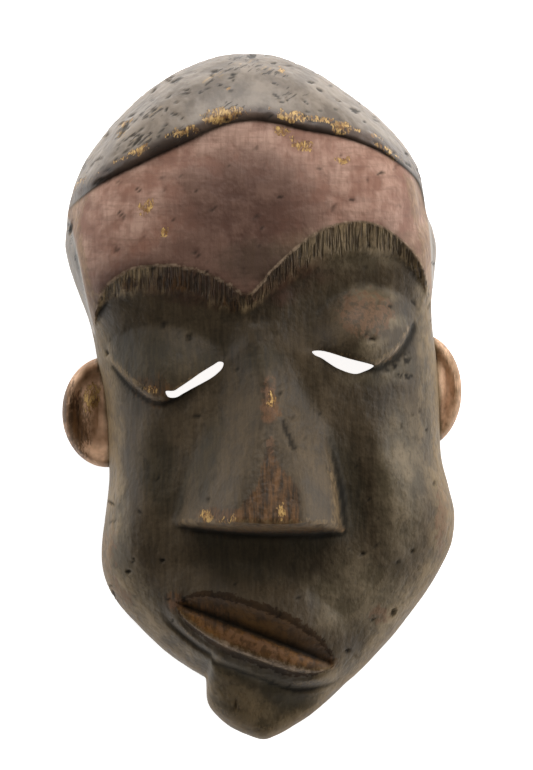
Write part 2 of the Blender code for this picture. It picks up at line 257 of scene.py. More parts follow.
def clouds(x: Array, y: Array, z: Array, size: tuple[float, float, float], octaves: int = 3) -> Array:
    """Makes soft natural unevenness.

    Args:
        x: The places' x.
        y: The places' y.
        z: The places' z.
        size: How long the unevenness is along each axis, in millimetres.
        octaves: How many finer layers are added.

    Returns:
        A value of about -1 to 1 at each place.
    """
    spots = np.stack([x / size[0], y / size[1], z / size[2]], 1)
    return np.array([noise.fractal(spot, 1.0, 2.0, octaves) for spot in spots])


class Zone(Enum):
    """The painted, worn and soiled parts of the carving, and where light and shade are painted on it, each
    kept as an attribute of its mesh.
    """

    HAIR = "hair"
    # Darker wall under the roll of the hair: painted shade.
    HAIR_WALL = "hair_wall"
    PITTED = "pitted"
    SKIN = "skin"
    # Pale patches on the cheeks, lids, brow and chin: partly wear, partly painted light.
    PALE = "pale_wear"
    FOREHEAD = "forehead"
    BROW = "brow"
    STROKE = "brow_stroke"
    # Pale lines on the crest of the brow and on the rims of the lids and the lower lip: partly wear, partly
    # painted highlight.
    RIM = "pale_rim"
    LIPS = "lips"
    LOWER_LIP = "lower_lip"
    # Dark band round the lips: a painted outline, and below the lower lip's crest also painted shade.
    LIP_LINE = "lip_line"
    EAR = "ear"
    BACK = "back"
    UMBER = "umber_wear"
    # Dark olive in the broad hollows and in listed patches beside and under the nose: partly patina, partly
    # painted shade.
    HOLLOW = "hollow"
    # Pale band along the sides of the head: partly wear, partly painted sheen.
    EDGE = "handled_edge"
    # Darker middle and foot of the forehead: painted shade.
    SMOKE = "smoke"
    RED = "red_wear"
    # Bare wood where the patina is worn through, and painted glints on the nose's tip and ridge.
    BARE = "bare_wood"
    RUBBED = "rubbed_edge"
    # Near-black in creases, small hollows, cuts and pits, and under the lids and the roll of the hair: partly
    # soiling, partly painted shade.
    GRIME = "grime"


@dataclass(frozen=True)
class Outline:
    """The widest line of the head seen from in front, and the knob of the chin that stands out past it."""

    half_width: float = 82.0
    half_length: float = 154.5
    front_share: float = 0.87
    turn_in: float = 0.035
    head: Curve = (
        (-12.9, 154.2), (0.0, 154.0), (10.8, 151.8), (24.5, 145.6), (34.9, 139.1), (45.2, 131.5),
        (55.5, 122.5), (64.5, 112.3), (70.4, 102.0), (72.5, 92.6), (74.0, 82.4), (76.9, 75.1), (78.6, 66.8),
        (77.5, 53.5), (76.4, 42.1), (77.0, 28.1), (78.8, 12.4), (80.0, -9.7), (80.2, -21.2), (81.2, -30.0),
        (83.8, -40.1), (86.5, -50.0), (86.8, -57.5), (85.7, -65.0), (83.1, -71.6), (78.3, -80.8),
        (71.4, -91.6), (55.4, -111.8), (38.0, -129.0), (22.0, -138.5), (4.0, -139.5), (-12.0, -134.0),
        (-24.8, -127.3), (-35.0, -121.1), (-45.9, -113.0), (-61.7, -97.0), (-68.9, -86.6), (-72.1, -76.0),
        (-72.3, -67.0), (-70.9, -55.0), (-69.0, -40.0), (-69.0, -28.0), (-69.4, -12.0), (-71.2, 4.0),
        (-74.2, 17.5), (-77.1, 31.3), (-82.0, 45.0), (-86.6, 58.2), (-88.6, 67.5), (-88.2, 76.0),
        (-87.4, 84.0), (-84.6, 94.4), (-78.9, 106.6), (-66.7, 123.1), (-52.3, 136.8), (-38.0, 146.2),
        (-23.7, 152.0),
    )
    chin: Curve = (
        (-24.0, -123.0), (-24.7, -127.5), (-25.1, -131.5), (-24.3, -138.1), (-20.3, -144.0),
        (-13.2, -149.7), (-1.2, -154.5), (5.9, -153.1), (14.1, -148.7), (25.0, -141.0), (38.0, -129.0),
    )

    def reach(self, angle: Array) -> Array:
        """Gives how far the head goes from its middle in the direction of each angle."""
        return np.interp(angle, *polar(traced(self.head, closed=True)), period=2 * math.pi)

    def chin_past(self, angle: Array) -> Array:
        """Gives how far the knob of the chin stands out past the head in the direction of each angle."""
        far = np.interp(angle, *polar(traced(self.chin)), left=0.0, right=0.0)
        return np.clip(far - self.reach(angle), 0, None)

    @staticmethod
    def knob_share(out: Array) -> Array:
        """Gives how much of the knob stands out at each share of the way to the widest line."""
        return ramp(0.84, 1.0, out)

    def without_knob(self, x: Array, y: Array) -> tuple[Array, Array]:
        """Moves the places on the knob of the chin back to where they were before it stood out.

        Args:
            x: The places' x.
            y: The places' y.

        Returns:
            The places' x and y on the head without its knob.
        """
        angle = np.arctan2(y, x)
        far, reach, past = np.hypot(x, y), self.reach(angle), self.chin_past(angle)
        out = far / reach
        for _ in range(4):
            out = np.clip((far - past * self.knob_share(out)) / reach, 0, None)
        far = np.where(past > 0, out * reach, far)
        return far * np.cos(angle), far * np.sin(angle)

    def share(self, x: Array, y: Array) -> Array:
        """Gives the share of the way from the middle of the face to its widest line."""
        return np.hypot(x, y) / self.reach(np.arctan2(y, x))

    def plan(self, u: Array, v: Array) -> tuple[Array, Array, Array, Array]:
        """Spreads a square grid over the plan of the mask.

        Args:
            u: The grid's places across, from -1 to 1.
            v: The grid's places along, from -1 to 1.

        Returns:
            x, y, the share of the way to the widest line, and the share of the way down the wall past it.
        """
        cos, sin, r = on_disc(u, v)
        out = np.sin(np.clip(r / self.front_share, 0, 1) * math.pi / 2)
        x, y = cos * out * self.half_width, sin * out * self.half_length
        angle = np.arctan2(y, x)
        across = np.hypot(self.half_length * np.cos(angle), self.half_width * np.sin(angle))
        oval = self.half_width * self.half_length / across
        stretch = 1 + (self.reach(angle) / oval - 1) * out**2
        down = np.clip((r - self.front_share) / (1 - self.front_share), 0, 1)
        return x * stretch, y * stretch, out, down

    def drawn_in(self, down: Array) -> Array:
        """Gives how far the side wall draws in on its way down to the rim."""
        return 1 - self.turn_in * ramp(0.0, 1.0, down)


@dataclass(frozen=True)
class Block:
    """The plain rounded block that the face is cut from."""

    outline: Outline = field(default_factory=Outline)
    widest_line_height: Curve = (
        (-155.0, 34.0), (-60.0, 36.0), (0.0, 38.0), (60.0, 42.0), (155.0, 46.0),
    )
    dome_height: Curve = (
        (-155.0, 82.0), (-100.0, 84.0), (-40.0, 84.0), (0.0, 86.0), (45.0, 90.0), (90.0, 95.0),
        (155.0, 97.0),
    )
    dome_squareness: Curve = (
        (-155.0, 2.5), (-60.0, 2.7), (0.0, 3.0), (60.0, 3.5), (155.0, 3.0),
    )

    def height(self, x: Array, y: Array) -> tuple[Array, Array]:
        """Gives the height of the block and of its widest line.

        Args:
            x: The places' x.
            y: The places' y.

        Returns:
            The height of the block at each place, and of its widest line beside it.
        """
        side = through(self.widest_line_height, y)
        squareness = through(self.dome_squareness, y)
        inner = np.clip(1 - np.clip(self.outline.share(x, y), 0, 1) ** squareness, 0, 1)
        return side + (through(self.dome_height, y) - side) * np.sqrt(inner), side


@dataclass(frozen=True)
class Eye:
    """A hooded lid that swells out of a hollow socket and ends in an edge over a slit."""

    edge: Curve
    slit: Curve
    socket: tuple[float, float]
    socket_radii: tuple[float, float]
    lid: tuple[float, float]
    lid_radii: tuple[float, float]
    swell: float
    hollow: float = 7.0
    below: float = 3.0

    def bulge(self, x: Array, y: Array) -> Array:
        """Gives how far the lid swells out of its socket."""
        return self.swell * mound(x, y, self.lid, self.lid_radii, power=1.2)

    def height(self, x: Array, y: Array) -> Array:
        """Gives what the eye adds to the height of the block."""
        deep = mound(x, y, self.socket, self.socket_radii, power=1.2)
        upper = ramp(-0.6, 0.6, beside(self.edge, x, y))
        return upper * (self.bulge(x, y) - self.hollow * deep) - self.below * (1 - upper) * deep


@dataclass(frozen=True)
class Brow:
    """The forehead, which stands out over the eyes down a bevel under the sharp crest of the joined brow."""

    rise: float = 10.5
    crest: Curve = (
        (-79.0, 20.0), (-76.1, 30.0), (-72.3, 45.0), (-66.8, 51.9), (-59.9, 56.5), (-52.3, 58.4),
        (-42.7, 58.8), (-32.4, 57.4), (-22.0, 54.0), (-14.0, 49.6), (-5.4, 45.7), (3.9, 56.0), (12.8, 64.3),
        (21.1, 71.1), (31.4, 76.3), (41.8, 78.1), (50.7, 77.0), (59.0, 72.5), (65.9, 66.4), (71.4, 58.7),
        (74.8, 50.0), (79.0, 36.0),
    )
    foot: Curve = (
        (-80.0, 17.0), (-75.6, 31.5), (-70.2, 40.9), (-59.9, 43.8), (-42.8, 45.2), (-32.4, 43.0),
        (-22.0, 38.8), (-8.2, 36.4), (-0.9, 40.4), (7.3, 46.6), (17.6, 52.8), (27.9, 58.6), (38.3, 61.5),
        (48.6, 62.9), (59.0, 62.0), (66.4, 56.7), (71.6, 49.3), (80.0, 32.0),
    )

    def bevel(self, x: Array, y: Array) -> tuple[Array, Array]:
        """Reads the bevel of the brow.

        Args:
            x: The places' x.
            y: The places' y.

        Returns:
            The share of the way up the bevel, and the distance above its crest.
        """
        above, over_foot = beside(self.crest, x, y), beside(self.foot, x, y)
        up = np.clip(over_foot / np.clip(over_foot - above, 0.01, None), 0, 1)
        return np.where(above >= 0, 1.0, np.where(over_foot <= 0, 0.0, up)) * ramp(8, 16, y), above

    def height(self, x: Array, y: Array) -> Array:
        """Gives what the forehead adds to the height of the block."""
        up, above = self.bevel(x, y)
        return self.rise * up * (1 - 0.45 * ramp(0, 60, above))


@dataclass(frozen=True)
class Hair:
    """The cap of hair, which rolls up along its edge over the forehead and lies back at the temples."""

    rise: float = 3.8
    more_on_left: float = 2.0
    edge: Curve = (
        (-74.5, 27.0), (-78.3, 43.4), (-81.9, 61.4), (-85.6, 77.2), (-87.0, 84.1), (-71.4, 95.8),
        (-51.9, 105.5), (-32.4, 114.6), (-18.9, 120.9), (-5.1, 123.6), (6.6, 122.2), (18.3, 119.4),
        (35.8, 116.2), (49.5, 111.4), (61.2, 104.6), (69.6, 97.2), (72.7, 89.0), (74.8, 76.0), (75.9, 60.0),
        (76.2, 44.0),
    )

    def height(self, z: Array, side: Array, x: Array, y: Array) -> Array:
        """Adds the hair to a height.

        Args:
            z: The height without the hair.
            side: The height of the widest line.
            x: The places' x.
            y: The places' y.

        Returns:
            The height with the hair.
        """
        past = beside(self.edge, x, y)
        over = ramp(80.0, 98.0, y)
        thick = mound(x, y, (-48.0, 108.0), (44.0, 46.0), power=1)
        roll = np.clip(past / (4.5 + 3.0 * thick), 0, 1)
        temple = 1 - 0.5 * (1 - over) * ramp(26.0, 40.0, y) * ramp(-0.3, 1.2, past)
        step = (self.rise + self.more_on_left * thick) * np.sqrt(1 - (1 - roll) ** 2)
        return side + (z - side) * temple + step * over


@dataclass(frozen=True)
class Nose:
    """A wedge that widens from a soft root to a cut-off end, with a flat pad on its tip and flared wings."""

    rise: float = 35.0
    end_slope: float = 7.0
    root: float = 38.0
    end: float = -57.5
    ridge: Curve = ((-57.5, 3.6), (-25.0, 3.2), (0.0, 2.2), (20.0, -1.5), (38.0, -4.8))
    pad_left: Curve = ((-56.3, -11.2), (-48.4, -9.2), (-39.4, -2.2), (-29.5, 0.2), (-19.0, 3.0))
    pad_right: Curve = ((-56.3, 17.6), (-48.4, 17.0), (-39.4, 15.4), (-31.5, 8.4), (-19.0, 3.4))
    left: Curve = (
        (-60.0, -38.0), (-50.0, -33.8), (-40.0, -31.0), (-29.0, -27.0), (-10.0, -21.3), (15.0, -17.5),
        (38.0, -13.0),
    )
    right: Curve = (
        (-60.0, 35.4), (-43.0, 33.6), (-31.0, 31.4), (-15.0, 27.4), (-2.0, 22.5), (21.0, 15.0), (38.0, 9.0),
    )
    foot: Curve = (
        (-38.0, -57.6), (-20.0, -60.8), (0.0, -62.2), (20.0, -62.0), (36.0, -61.2),
    )

    def height(self, x: Array, y: Array) -> Array:
        """Gives what the nose adds to the height of the face."""
        t = np.clip((self.root - y) / (self.root - self.end), 0, 1)
        ridge = through(self.ridge, y)
        on_left = x < ridge
        edge = np.where(on_left, through(self.left, y), through(self.right, y))
        over = np.abs((x - ridge) / (edge - ridge))
        wing = np.where(on_left, 0.16, 0.34) * ramp(0.3, 0.9, t)
        fall = 1.4 - np.where(on_left, 0.5, 0.75) * ramp(0.3, 0.8, t)
        facet = (1.08 + 0.47 * ramp(0.35, 1.0, t)) * np.clip(1 - over, 0, 1) ** fall
        pad = np.clip(1.0 - (0.7 - 0.48 * ramp(0.3, 0.9, t)) * over**2, 0, 1)
        body = wing + (1 - wing) * smooth_minimum(facet, pad, 0.06)
        past = (over - 1) * np.abs(edge - ridge)
        spill = np.where(on_left, 7.0 - 4.0 * t, 8.0 - 6.5 * ramp(0.35, 0.6, t))
        body = np.where(past > 0, wing * (1 - ramp(0, 1, past / spill)), body)
        cut = np.clip(y - through(self.foot, x), 0, None) * self.end_slope
        return smooth_minimum(self.rise * t**1.15 * body, cut, 1.0) * (cut > 0)

    def on_pad(self, x: Array, y: Array) -> Array:
        """Gives 1 inside the worn pad of the tip and 0 outside it."""
        inside = np.minimum(x - through(self.pad_left, y), through(self.pad_right, y) - x)
        return ramp(-1.0, 1.6, inside) * ramp(-58.0, -56.0, y) * (1 - ramp(-26.0, -17.0, y))


@dataclass(frozen=True)
class Mouth:
    """Slanted lips, cut as a boat-shaped hollow with a deep parting line, on a raised muzzle."""

    middle: tuple[float, float] = (-3.2, -106.6)
    turn: float = -21.4
    half_length: float = 37.6
    upper: float = 12.0
    lower: float = 9.6
    crease: float = 16.8
    crease_half_length: float = 47.0
    profile: Curve = (
        (-1.8, 0.0), (-1.62, 0.5), (-1.45, -0.9), (-1.12, -1.1), (-0.97, 0.8), (-0.8, 0.3), (-0.4, -2.2),
        (-0.14, -4.4), (0.06, -7.6), (0.2, -6.2), (0.5, -4.6), (0.8, -2.4), (0.98, 0.2), (1.1, 0.5),
        (1.4, 0.0),
    )

    def place(self, x: Array, y: Array) -> tuple[Array, Array, Array]:
        """Reads places across the mouth.

        Args:
            x: The places' x.
            y: The places' y.

        Returns:
            The place along the mouth, the place over it, and the latter as a share of the lip's half height.
        """
        along, over = turned(x, y, self.middle, self.turn)
        half = np.where(over > 0, self.upper, self.lower) * almond(along, self.half_length, 0.6)
        return along, over, over / np.clip(half, 0.5, None)

    def crease_below(self, along: Array) -> Array:
        """Gives how far below the mouth's axis the crease under the lower lip runs."""
        return self.crease * almond(along, self.crease_half_length, 0.6, 2.0)

    @staticmethod
    def crease_share(along: Array) -> Array:
        """Gives 1 along the crease, fading to 0 at its ends."""
        return 1 - ramp(32.0, 46.0, np.abs(along))

    def height(self, x: Array, y: Array) -> Array:
        """Gives what the mouth adds to the height of the face."""
        along, over, share = self.place(x, y)
        half = np.abs(over / np.where(share == 0, 1, share))
        lips = through(self.profile, share) * (0.3 + 0.7 * almond(along, self.half_length, 0.7, 2.0))
        lips *= ramp(0.0, 3.0, half)
        low = self.lower * almond(along, self.half_length, 0.6)
        crease = self.crease_below(along)
        below = (-over - low) / np.clip(crease - low, 2.0, None)
        outer = -1.8 * ramp(0.5, 1.1, below) * (1 - ramp(1.6, 4.5, below))
        outer -= 1.6 * hump(over + crease, 1.2)
        outer *= self.crease_share(along) * (over < 0)
        muzzle = 8.0 * mound(x, y, (-4.0, -106.0), (52.0, 29.0), self.turn, power=1.1)
        return muzzle + lips + outer

    def lines(self) -> Iterator[Array]:
        """Gives the upper edge, the parting, the lower lip's crest and the crease, as lines in the plan."""
        along = np.linspace(-self.half_length, self.half_length, 33)
        c, s = math.cos(math.radians(self.turn)), math.sin(math.radians(self.turn))
        for over in (
            self.upper * almond(along, self.half_length, 0.6),
            0.6 * almond(along, self.half_length, 0.5),
            -self.lower * almond(along, self.half_length, 0.6),
            -self.crease_below(along),
        ):
            yield np.stack([self.middle[0] + along * c - over * s, self.middle[1] + along * s + over * c], 1)


@dataclass(frozen=True)
class Face:
    """The whole carved front: block, brow, hair, eyes, nose, mouth, cheeks and chin."""

    block: Block = field(default_factory=Block)
    brow: Brow = field(default_factory=Brow)
    hair: Hair = field(default_factory=Hair)
    nose: Nose = field(default_factory=Nose)
    mouth: Mouth = field(default_factory=Mouth)
    left_eye: Eye = Eye(
        edge=(
            (-66.2, 13.3), (-60.6, 7.1), (-55.1, 2.3), (-49.6, -1.3), (-44.1, -2.2), (-38.6, 0.6),
            (-28.4, 8.2), (-19.4, 14.3), (-13.0, 20.3), (-9.6, 23.0),
        ),
        slit=(
            (-43.2, 2.4), (-41.9, -0.2), (-38.4, -0.3), (-35.1, 1.5), (-30.6, 4.0), (-23.4, 7.9),
            (-19.8, 10.6), (-17.8, 12.8), (-17.3, 15.1), (-19.4, 15.6), (-21.6, 14.3), (-27.9, 10.4),
            (-32.4, 7.2), (-36.9, 4.2), (-39.6, 2.6),
        ),
        socket=(-42.0, 20.0),
        socket_radii=(38.0, 26.0),
        lid=(-46.0, 9.0),
        lid_radii=(32.0, 23.5),
        swell=13.0,
    )
    right_eye: Eye = Eye(
        edge=(
            (21.0, 20.4), (28.0, 19.2), (38.7, 15.9), (49.3, 13.5), (54.2, 15.0), (59.6, 19.0),
            (64.0, 25.0), (66.7, 31.1),
        ),
        slit=(
            (22.6, 20.3), (23.6, 18.6), (27.0, 17.0), (33.5, 12.8), (41.1, 10.2), (46.0, 11.4),
            (49.6, 13.2), (49.0, 14.4), (38.9, 17.0), (28.0, 20.3),
        ),
        socket=(42.0, 38.0),
        socket_radii=(37.0, 27.0),
        lid=(47.0, 27.5),
        lid_radii=(26.0, 22.0),
        swell=15.0,
    )

    @staticmethod
    def flesh(x: Array, y: Array) -> Array:
        """Gives the hollows beside and under the nose, the full cheeks and the chin."""
        return (
            -5.0 * mound(x, y, (2.0, -76.0), (46.0, 17.0))
            - 4.0 * mound(x, y, (42.0, -40.0), (16.0, 40.0), 8.0)
            - 3.0 * mound(x, y, (-40.0, -35.0), (17.0, 44.0), -10.0)
            + 3.0 * mound(x, y, (58.0, -45.0), (26.0, 50.0), 5.0)
            + 2.0 * mound(x, y, (-56.0, -55.0), (22.0, 50.0))
            - 5.0 * mound(x, y, (8.0, -133.0), (34.0, 15.0), -20.0)
            + 6.0 * mound(x, y, (-13.0, -140.0), (18.0, 16.0))
        )

    def height(self, x: Array, y: Array) -> Array:
        """Gives the height of the carved front at each place of the plan."""
        z, side = self.block.height(x, y)
        inside = 1 - ramp(0.93, 1.0, self.block.outline.share(x, y))
        z = self.hair.height(z + self.brow.height(x, y) * inside, side, x, y)
        z = z + inside * (self.left_eye.height(x, y) + self.right_eye.height(x, y)) + self.nose.height(x, y)
        return z + inside * (self.mouth.height(x, y) + self.flesh(x, y))

    def edges(self) -> list[Array]:
        """Gives the carved edges, as lines in the plan."""
        curves = (self.hair.edge, self.brow.crest, self.left_eye.edge, self.right_eye.edge, self.nose.foot)
        return [traced(curve) for curve in curves] + list(self.mouth.lines())


@dataclass(frozen=True)
class Hollows:
    """How far the places of the front lie below what surrounds them, which sets where they are soiled or carry
    painted shade, and where edges wear.
    """

    face: Face = field(default_factory=Face)
    step: float = 1.0

    def at(self, x: Array, y: Array, radius: float) -> Array:
        """Reads the depth below the surroundings.

        Args:
            x: The places' x.
            y: The places' y.
            radius: How wide the surroundings are.

        Returns:
            The depth in millimetres, negative where the place stands out.
        """
        across, along = np.arange(-96, 97, self.step), np.arange(-160, 161, self.step)
        gx, gy = (g.ravel() for g in np.meshgrid(across, along))
        inside = self.face.block.outline.share(gx, gy) < 1.02
        z = np.where(inside, self.face.height(gx, gy), 0.0).reshape(len(along), len(across))
        bell = np.exp(-0.5 * (np.arange(-3 * radius, 3 * radius + self.step, self.step) / radius) ** 2)
        bell /= bell.sum()
        soft = z
        for axis in (0, 1):
            soft = np.apply_along_axis(np.convolve, axis, soft, bell, "same")
        deep = soft - z
        i = np.clip((x - across[0]) / self.step, 0, len(across) - 1.001)
        j = np.clip((y - along[0]) / self.step, 0, len(along) - 1.001)
        i0, j0 = i.astype(int), j.astype(int)
        s, t = i - i0, j - j0
        low = deep[j0, i0] * (1 - s) + deep[j0, i0 + 1] * s
        high = deep[j0 + 1, i0] * (1 - s) + deep[j0 + 1, i0 + 1] * s
        return low * (1 - t) + high * t


@dataclass(frozen=True)
class Mark:
    """A cut, crack, pit or worn patch: its middle, its half length and half width, its turn and its depth."""

    x: float
    y: float
    half_length: float
    half_width: float
    turn: float = 0.0
    depth: float = 0.0

    def share(self, x: Array, y: Array) -> Array:
        """Gives 1 at the middle of the mark, falling to 0 at its edge."""
        return mound(x, y, (self.x, self.y), (self.half_length, self.half_width), self.turn, power=1.0)


def marks_of(*rows: tuple[float, ...]) -> tuple[Mark, ...]:
    """Makes a mark of each row of values."""
    return tuple(Mark(*row) for row in rows)


def strongest(marks: tuple[Mark, ...], x: Array, y: Array) -> Array:
    """Gives the largest share of any of the marks at each place."""
    return np.max([mark.share(x, y) for mark in marks], axis=0)


@dataclass(frozen=True)
class Wear:
    """The marks of tools, insects and use, and patches of painted shade and painted light, at the places where
    the mask has them.
    """

    cuts: tuple[Mark, ...] = marks_of(
        (13.6, -21.4, 2.4, 1.2, -64, 0.8), (57.2, 40.9, 1.1, 0.9, 0, 0.9),
        (-62.0, 119.5, 5.0, 0.9, 58, 0.9), (-55.5, 114.5, 4.5, 0.8, 48, 0.7),
        (-4.5, 153.0, 2.0, 1.3, 10, 1.4), (-44.6, -73.6, 1.1, 0.9, 0, 1.4),
        (-59.9, -78.5, 1.3, 1.0, 0, 1.2), (45.0, -70.4, 1.2, 0.9, 0, 1.4), (67.5, -69.5, 1.1, 0.9, 0, 1.3),
        (58.9, -97.0, 1.2, 2.0, -12, 1.4), (38.2, -114.1, 1.1, 1.0, 0, 1.4),
        (-86.0, 75.8, 3.0, 0.8, 80, 1.2), (49.2, 25.8, 1.8, 1.1, 10, 1.5),
        (-11.7, -138.2, 3.4, 0.7, 88, 1.1), (-29.7, -9.0, 2.4, 0.6, 8, 0.6),
        (-44.0, 32.0, 2.0, 1.2, 20, 0.6), (-32.5, 26.5, 1.6, 1.2, 0, 0.8), (-69.5, 19.5, 1.1, 1.1, 0, 1.0),
    )
    cracks: tuple[Curve, ...] = (((9.6, -11.2), (10.2, -13.4), (10.9, -16.0), (12.3, -18.2), (14.4, -23.0)),)
    crack_width: float = 0.8
    crack_depth: float = 0.7
    rough: tuple[Mark, ...] = marks_of(
        (57.5, 14.5, 7.0, 3.4, 24), (64.0, 17.0, 4.0, 3.0, 50), (63.5, 9.3, 5.5, 1.8),
        (44.0, 5.8, 2.0, 2.0), (-5.0, 21.0, 5.0, 4.0), (-6.0, 34.0, 16.0, 3.2), (5.0, 27.0, 5.0, 2.0, 40),
    )
    # Bare wood where the patina is worn off; the marks on the nose's tip and ridge are partly painted glints.
    bare: tuple[Mark, ...] = marks_of(
        (-16.5, 125.8, 12.0, 4.0, 6), (-35.0, 118.6, 7.0, 2.3, 20), (-54.5, 109.6, 6.0, 1.7, 29),
        (-64.4, 117.7, 1.3, 3.0), (-61.0, 121.0, 5.5, 1.0, 58), (12.5, 125.0, 7.0, 2.8, -8),
        (9.0, 146.5, 1.8, 2.6), (-14.4, 137.5, 1.6, 1.1), (34.9, 120.6, 4.0, 3.8),
        (56.0, 109.0, 9.0, 1.2, -33), (17.1, 113.0, 6.5, 2.8, -22), (8.5, 119.0, 4.0, 2.0, -25),
        (36.5, 105.3, 3.5, 2.0), (-52.0, 84.0, 4.2, 3.6, 40), (-43.0, 74.5, 2.0, 2.2),
        (-24.8, -53.6, 4.5, 2.2), (-14.4, -54.2, 4.5, 1.4), (8.9, -51.0, 2.0, 5.5), (4.6, -0.8, 2.6, 4.4),
        (-50.0, 3.4, 5.5, 1.7, -25), (-77.0, -1.0, 4.0, 8.0),
    )
    red: tuple[Mark, ...] = marks_of(
        (3.2, -1.6, 4.4, 12.5), (4.0, -21.6, 2.6, 4.5), (46.4, 37.5, 15.0, 12.5), (-38.7, -92.4, 3.2, 2.6),
        (-70.0, -70.0, 5.0, 16.0, -10), (-64.0, -88.0, 4.0, 11.0, 30), (53.0, -98.0, 5.0, 6.0),
        (81.0, -55.0, 4.0, 20.0), (-5.5, -110.5, 27.0, 3.8, -22),
    )
    umber: tuple[Mark, ...] = marks_of(
        (-49.0, 3.0, 13.0, 8.0, -15), (-38.0, -91.5, 6.0, 5.0, -20), (31.0, -118.5, 5.0, 3.0, -30),
        (-84.0, -14.0, 8.0, 20.0), (-90.0, 2.0, 5.0, 26.0), (0.0, -59.6, 42.0, 3.2),
        (-12.0, -53.5, 21.0, 5.0), (3.6, -3.0, 5.0, 11.0), (-22.0, -98.0, 15.0, 6.0, -22),
        (-38.0, 50.5, 8.0, 4.0, -12), (-13.0, 41.5, 6.0, 3.5, -25), (-59.0, 50.0, 5.0, 4.0, 20),
    )
    # Pale patches on the cheeks, lids, brow and chin: partly wear, partly painted light.
    pale: tuple[Mark, ...] = marks_of(
        (50.0, -90.0, 32.0, 20.0, -40), (62.0, -40.0, 14.0, 44.0), (34.0, -96.0, 14.0, 12.0, -30),
        (-6.0, -124.0, 34.0, 5.0, -21), (30.0, -88.0, 17.0, 10.0, -30), (50.0, 46.0, 14.0, 4.5, -8),
        (-66.0, -60.0, 8.0, 32.0), (40.0, 66.0, 40.0, 11.0), (52.0, 12.0, 20.0, 9.0, 10),
        (-62.0, -88.0, 14.0, 34.0, 30), (60.5, 33.5, 5.0, 4.0), (49.0, 22.0, 9.0, 5.0, 20),
    )
    # Patches that darken the middle and foot of the forehead: painted shade.
    smoke: tuple[Mark, ...] = marks_of(
        (-8.0, 82.0, 46.0, 35.0), (-12.0, 62.0, 50.0, 20.0, -4), (-6.0, 53.0, 34.0, 17.0),
        (-27.0, 51.0, 31.0, 12.0), (0.0, 63.0, 24.0, 17.0),
    )
    # Dark patches beside and under the nose, at its root, by the left eye and over the chin: painted shade.
    painted_shade: tuple[Mark, ...] = marks_of(
        (-46.0, -32.0, 12.0, 26.0, 6), (-52.0, 16.0, 34.0, 22.0), (4.0, -135.0, 34.0, 18.0, -22),
        (-2.0, -74.0, 34.0, 14.0), (0.0, 17.0, 12.0, 9.0), (-3.0, 60.0, 22.0, 13.0),
        (-25.0, -28.0, 8.0, 28.0, -14), (40.0, -42.0, 8.0, 30.0, 8), (-26.0, 14.0, 8.0, 14.0, -30),
    )
    pit_seed: int = 11
    pit_count: int = 260
    nick_count: int = 120

    def pits(self) -> Iterator[Mark]:
        """Scatters short shallow cuts over the hair, along its arcs, always in the same places."""
        dice = np.random.default_rng(self.pit_seed)
        for _ in range(self.pit_count):
            x, y = dice.uniform(-80, 74), dice.uniform(88, 152)
            along = math.degrees(math.atan2(-x * 0.8, y)) + dice.normal(0, 20)
            yield Mark(x, y, dice.uniform(0.8, 2.2), dice.uniform(0.45, 0.7), along, dice.uniform(0.2, 0.8))

    def nicks(self) -> Iterator[Mark]:
        """Scatters small dents over the face, always in the same places."""
        dice = np.random.default_rng(self.pit_seed + 1)
        for _ in range(self.nick_count):
            x, y, turn = dice.uniform(-74, 78), dice.uniform(-138, 112), dice.uniform(0, 180)
            yield Mark(x, y, dice.uniform(0.7, 2.4), dice.uniform(0.5, 0.8), turn, dice.uniform(0.15, 0.55))

    def depth(self, x: Array, y: Array, on_hair: Array) -> Array:
        """Gives how deep the marks go at each place of the plan.

        Args:
            x: The places' x.
            y: The places' y.
            on_hair: 1 on the cap of hair and 0 off it.

        Returns:
            The depth in millimetres.
        """
        deep, everywhere = np.zeros_like(x), np.ones_like(x)
        for marks, where in ((self.cuts, everywhere), (self.pits(), on_hair), (self.nicks(), 1 - on_hair)):
            for mark in marks:
                near = np.hypot(x - mark.x, y - mark.y) < max(mark.half_length, mark.half_width) + 1
                cut = where[near] * mark.depth * mark.share(x[near], y[near]) ** 0.5
                deep[near] = np.maximum(deep[near], cut)
        for crack in self.cracks:
            gap, _ = foot_on(traced(crack), x, y)
            deep = np.maximum(deep, self.crack_depth * hump(gap, self.crack_width))
        return deep


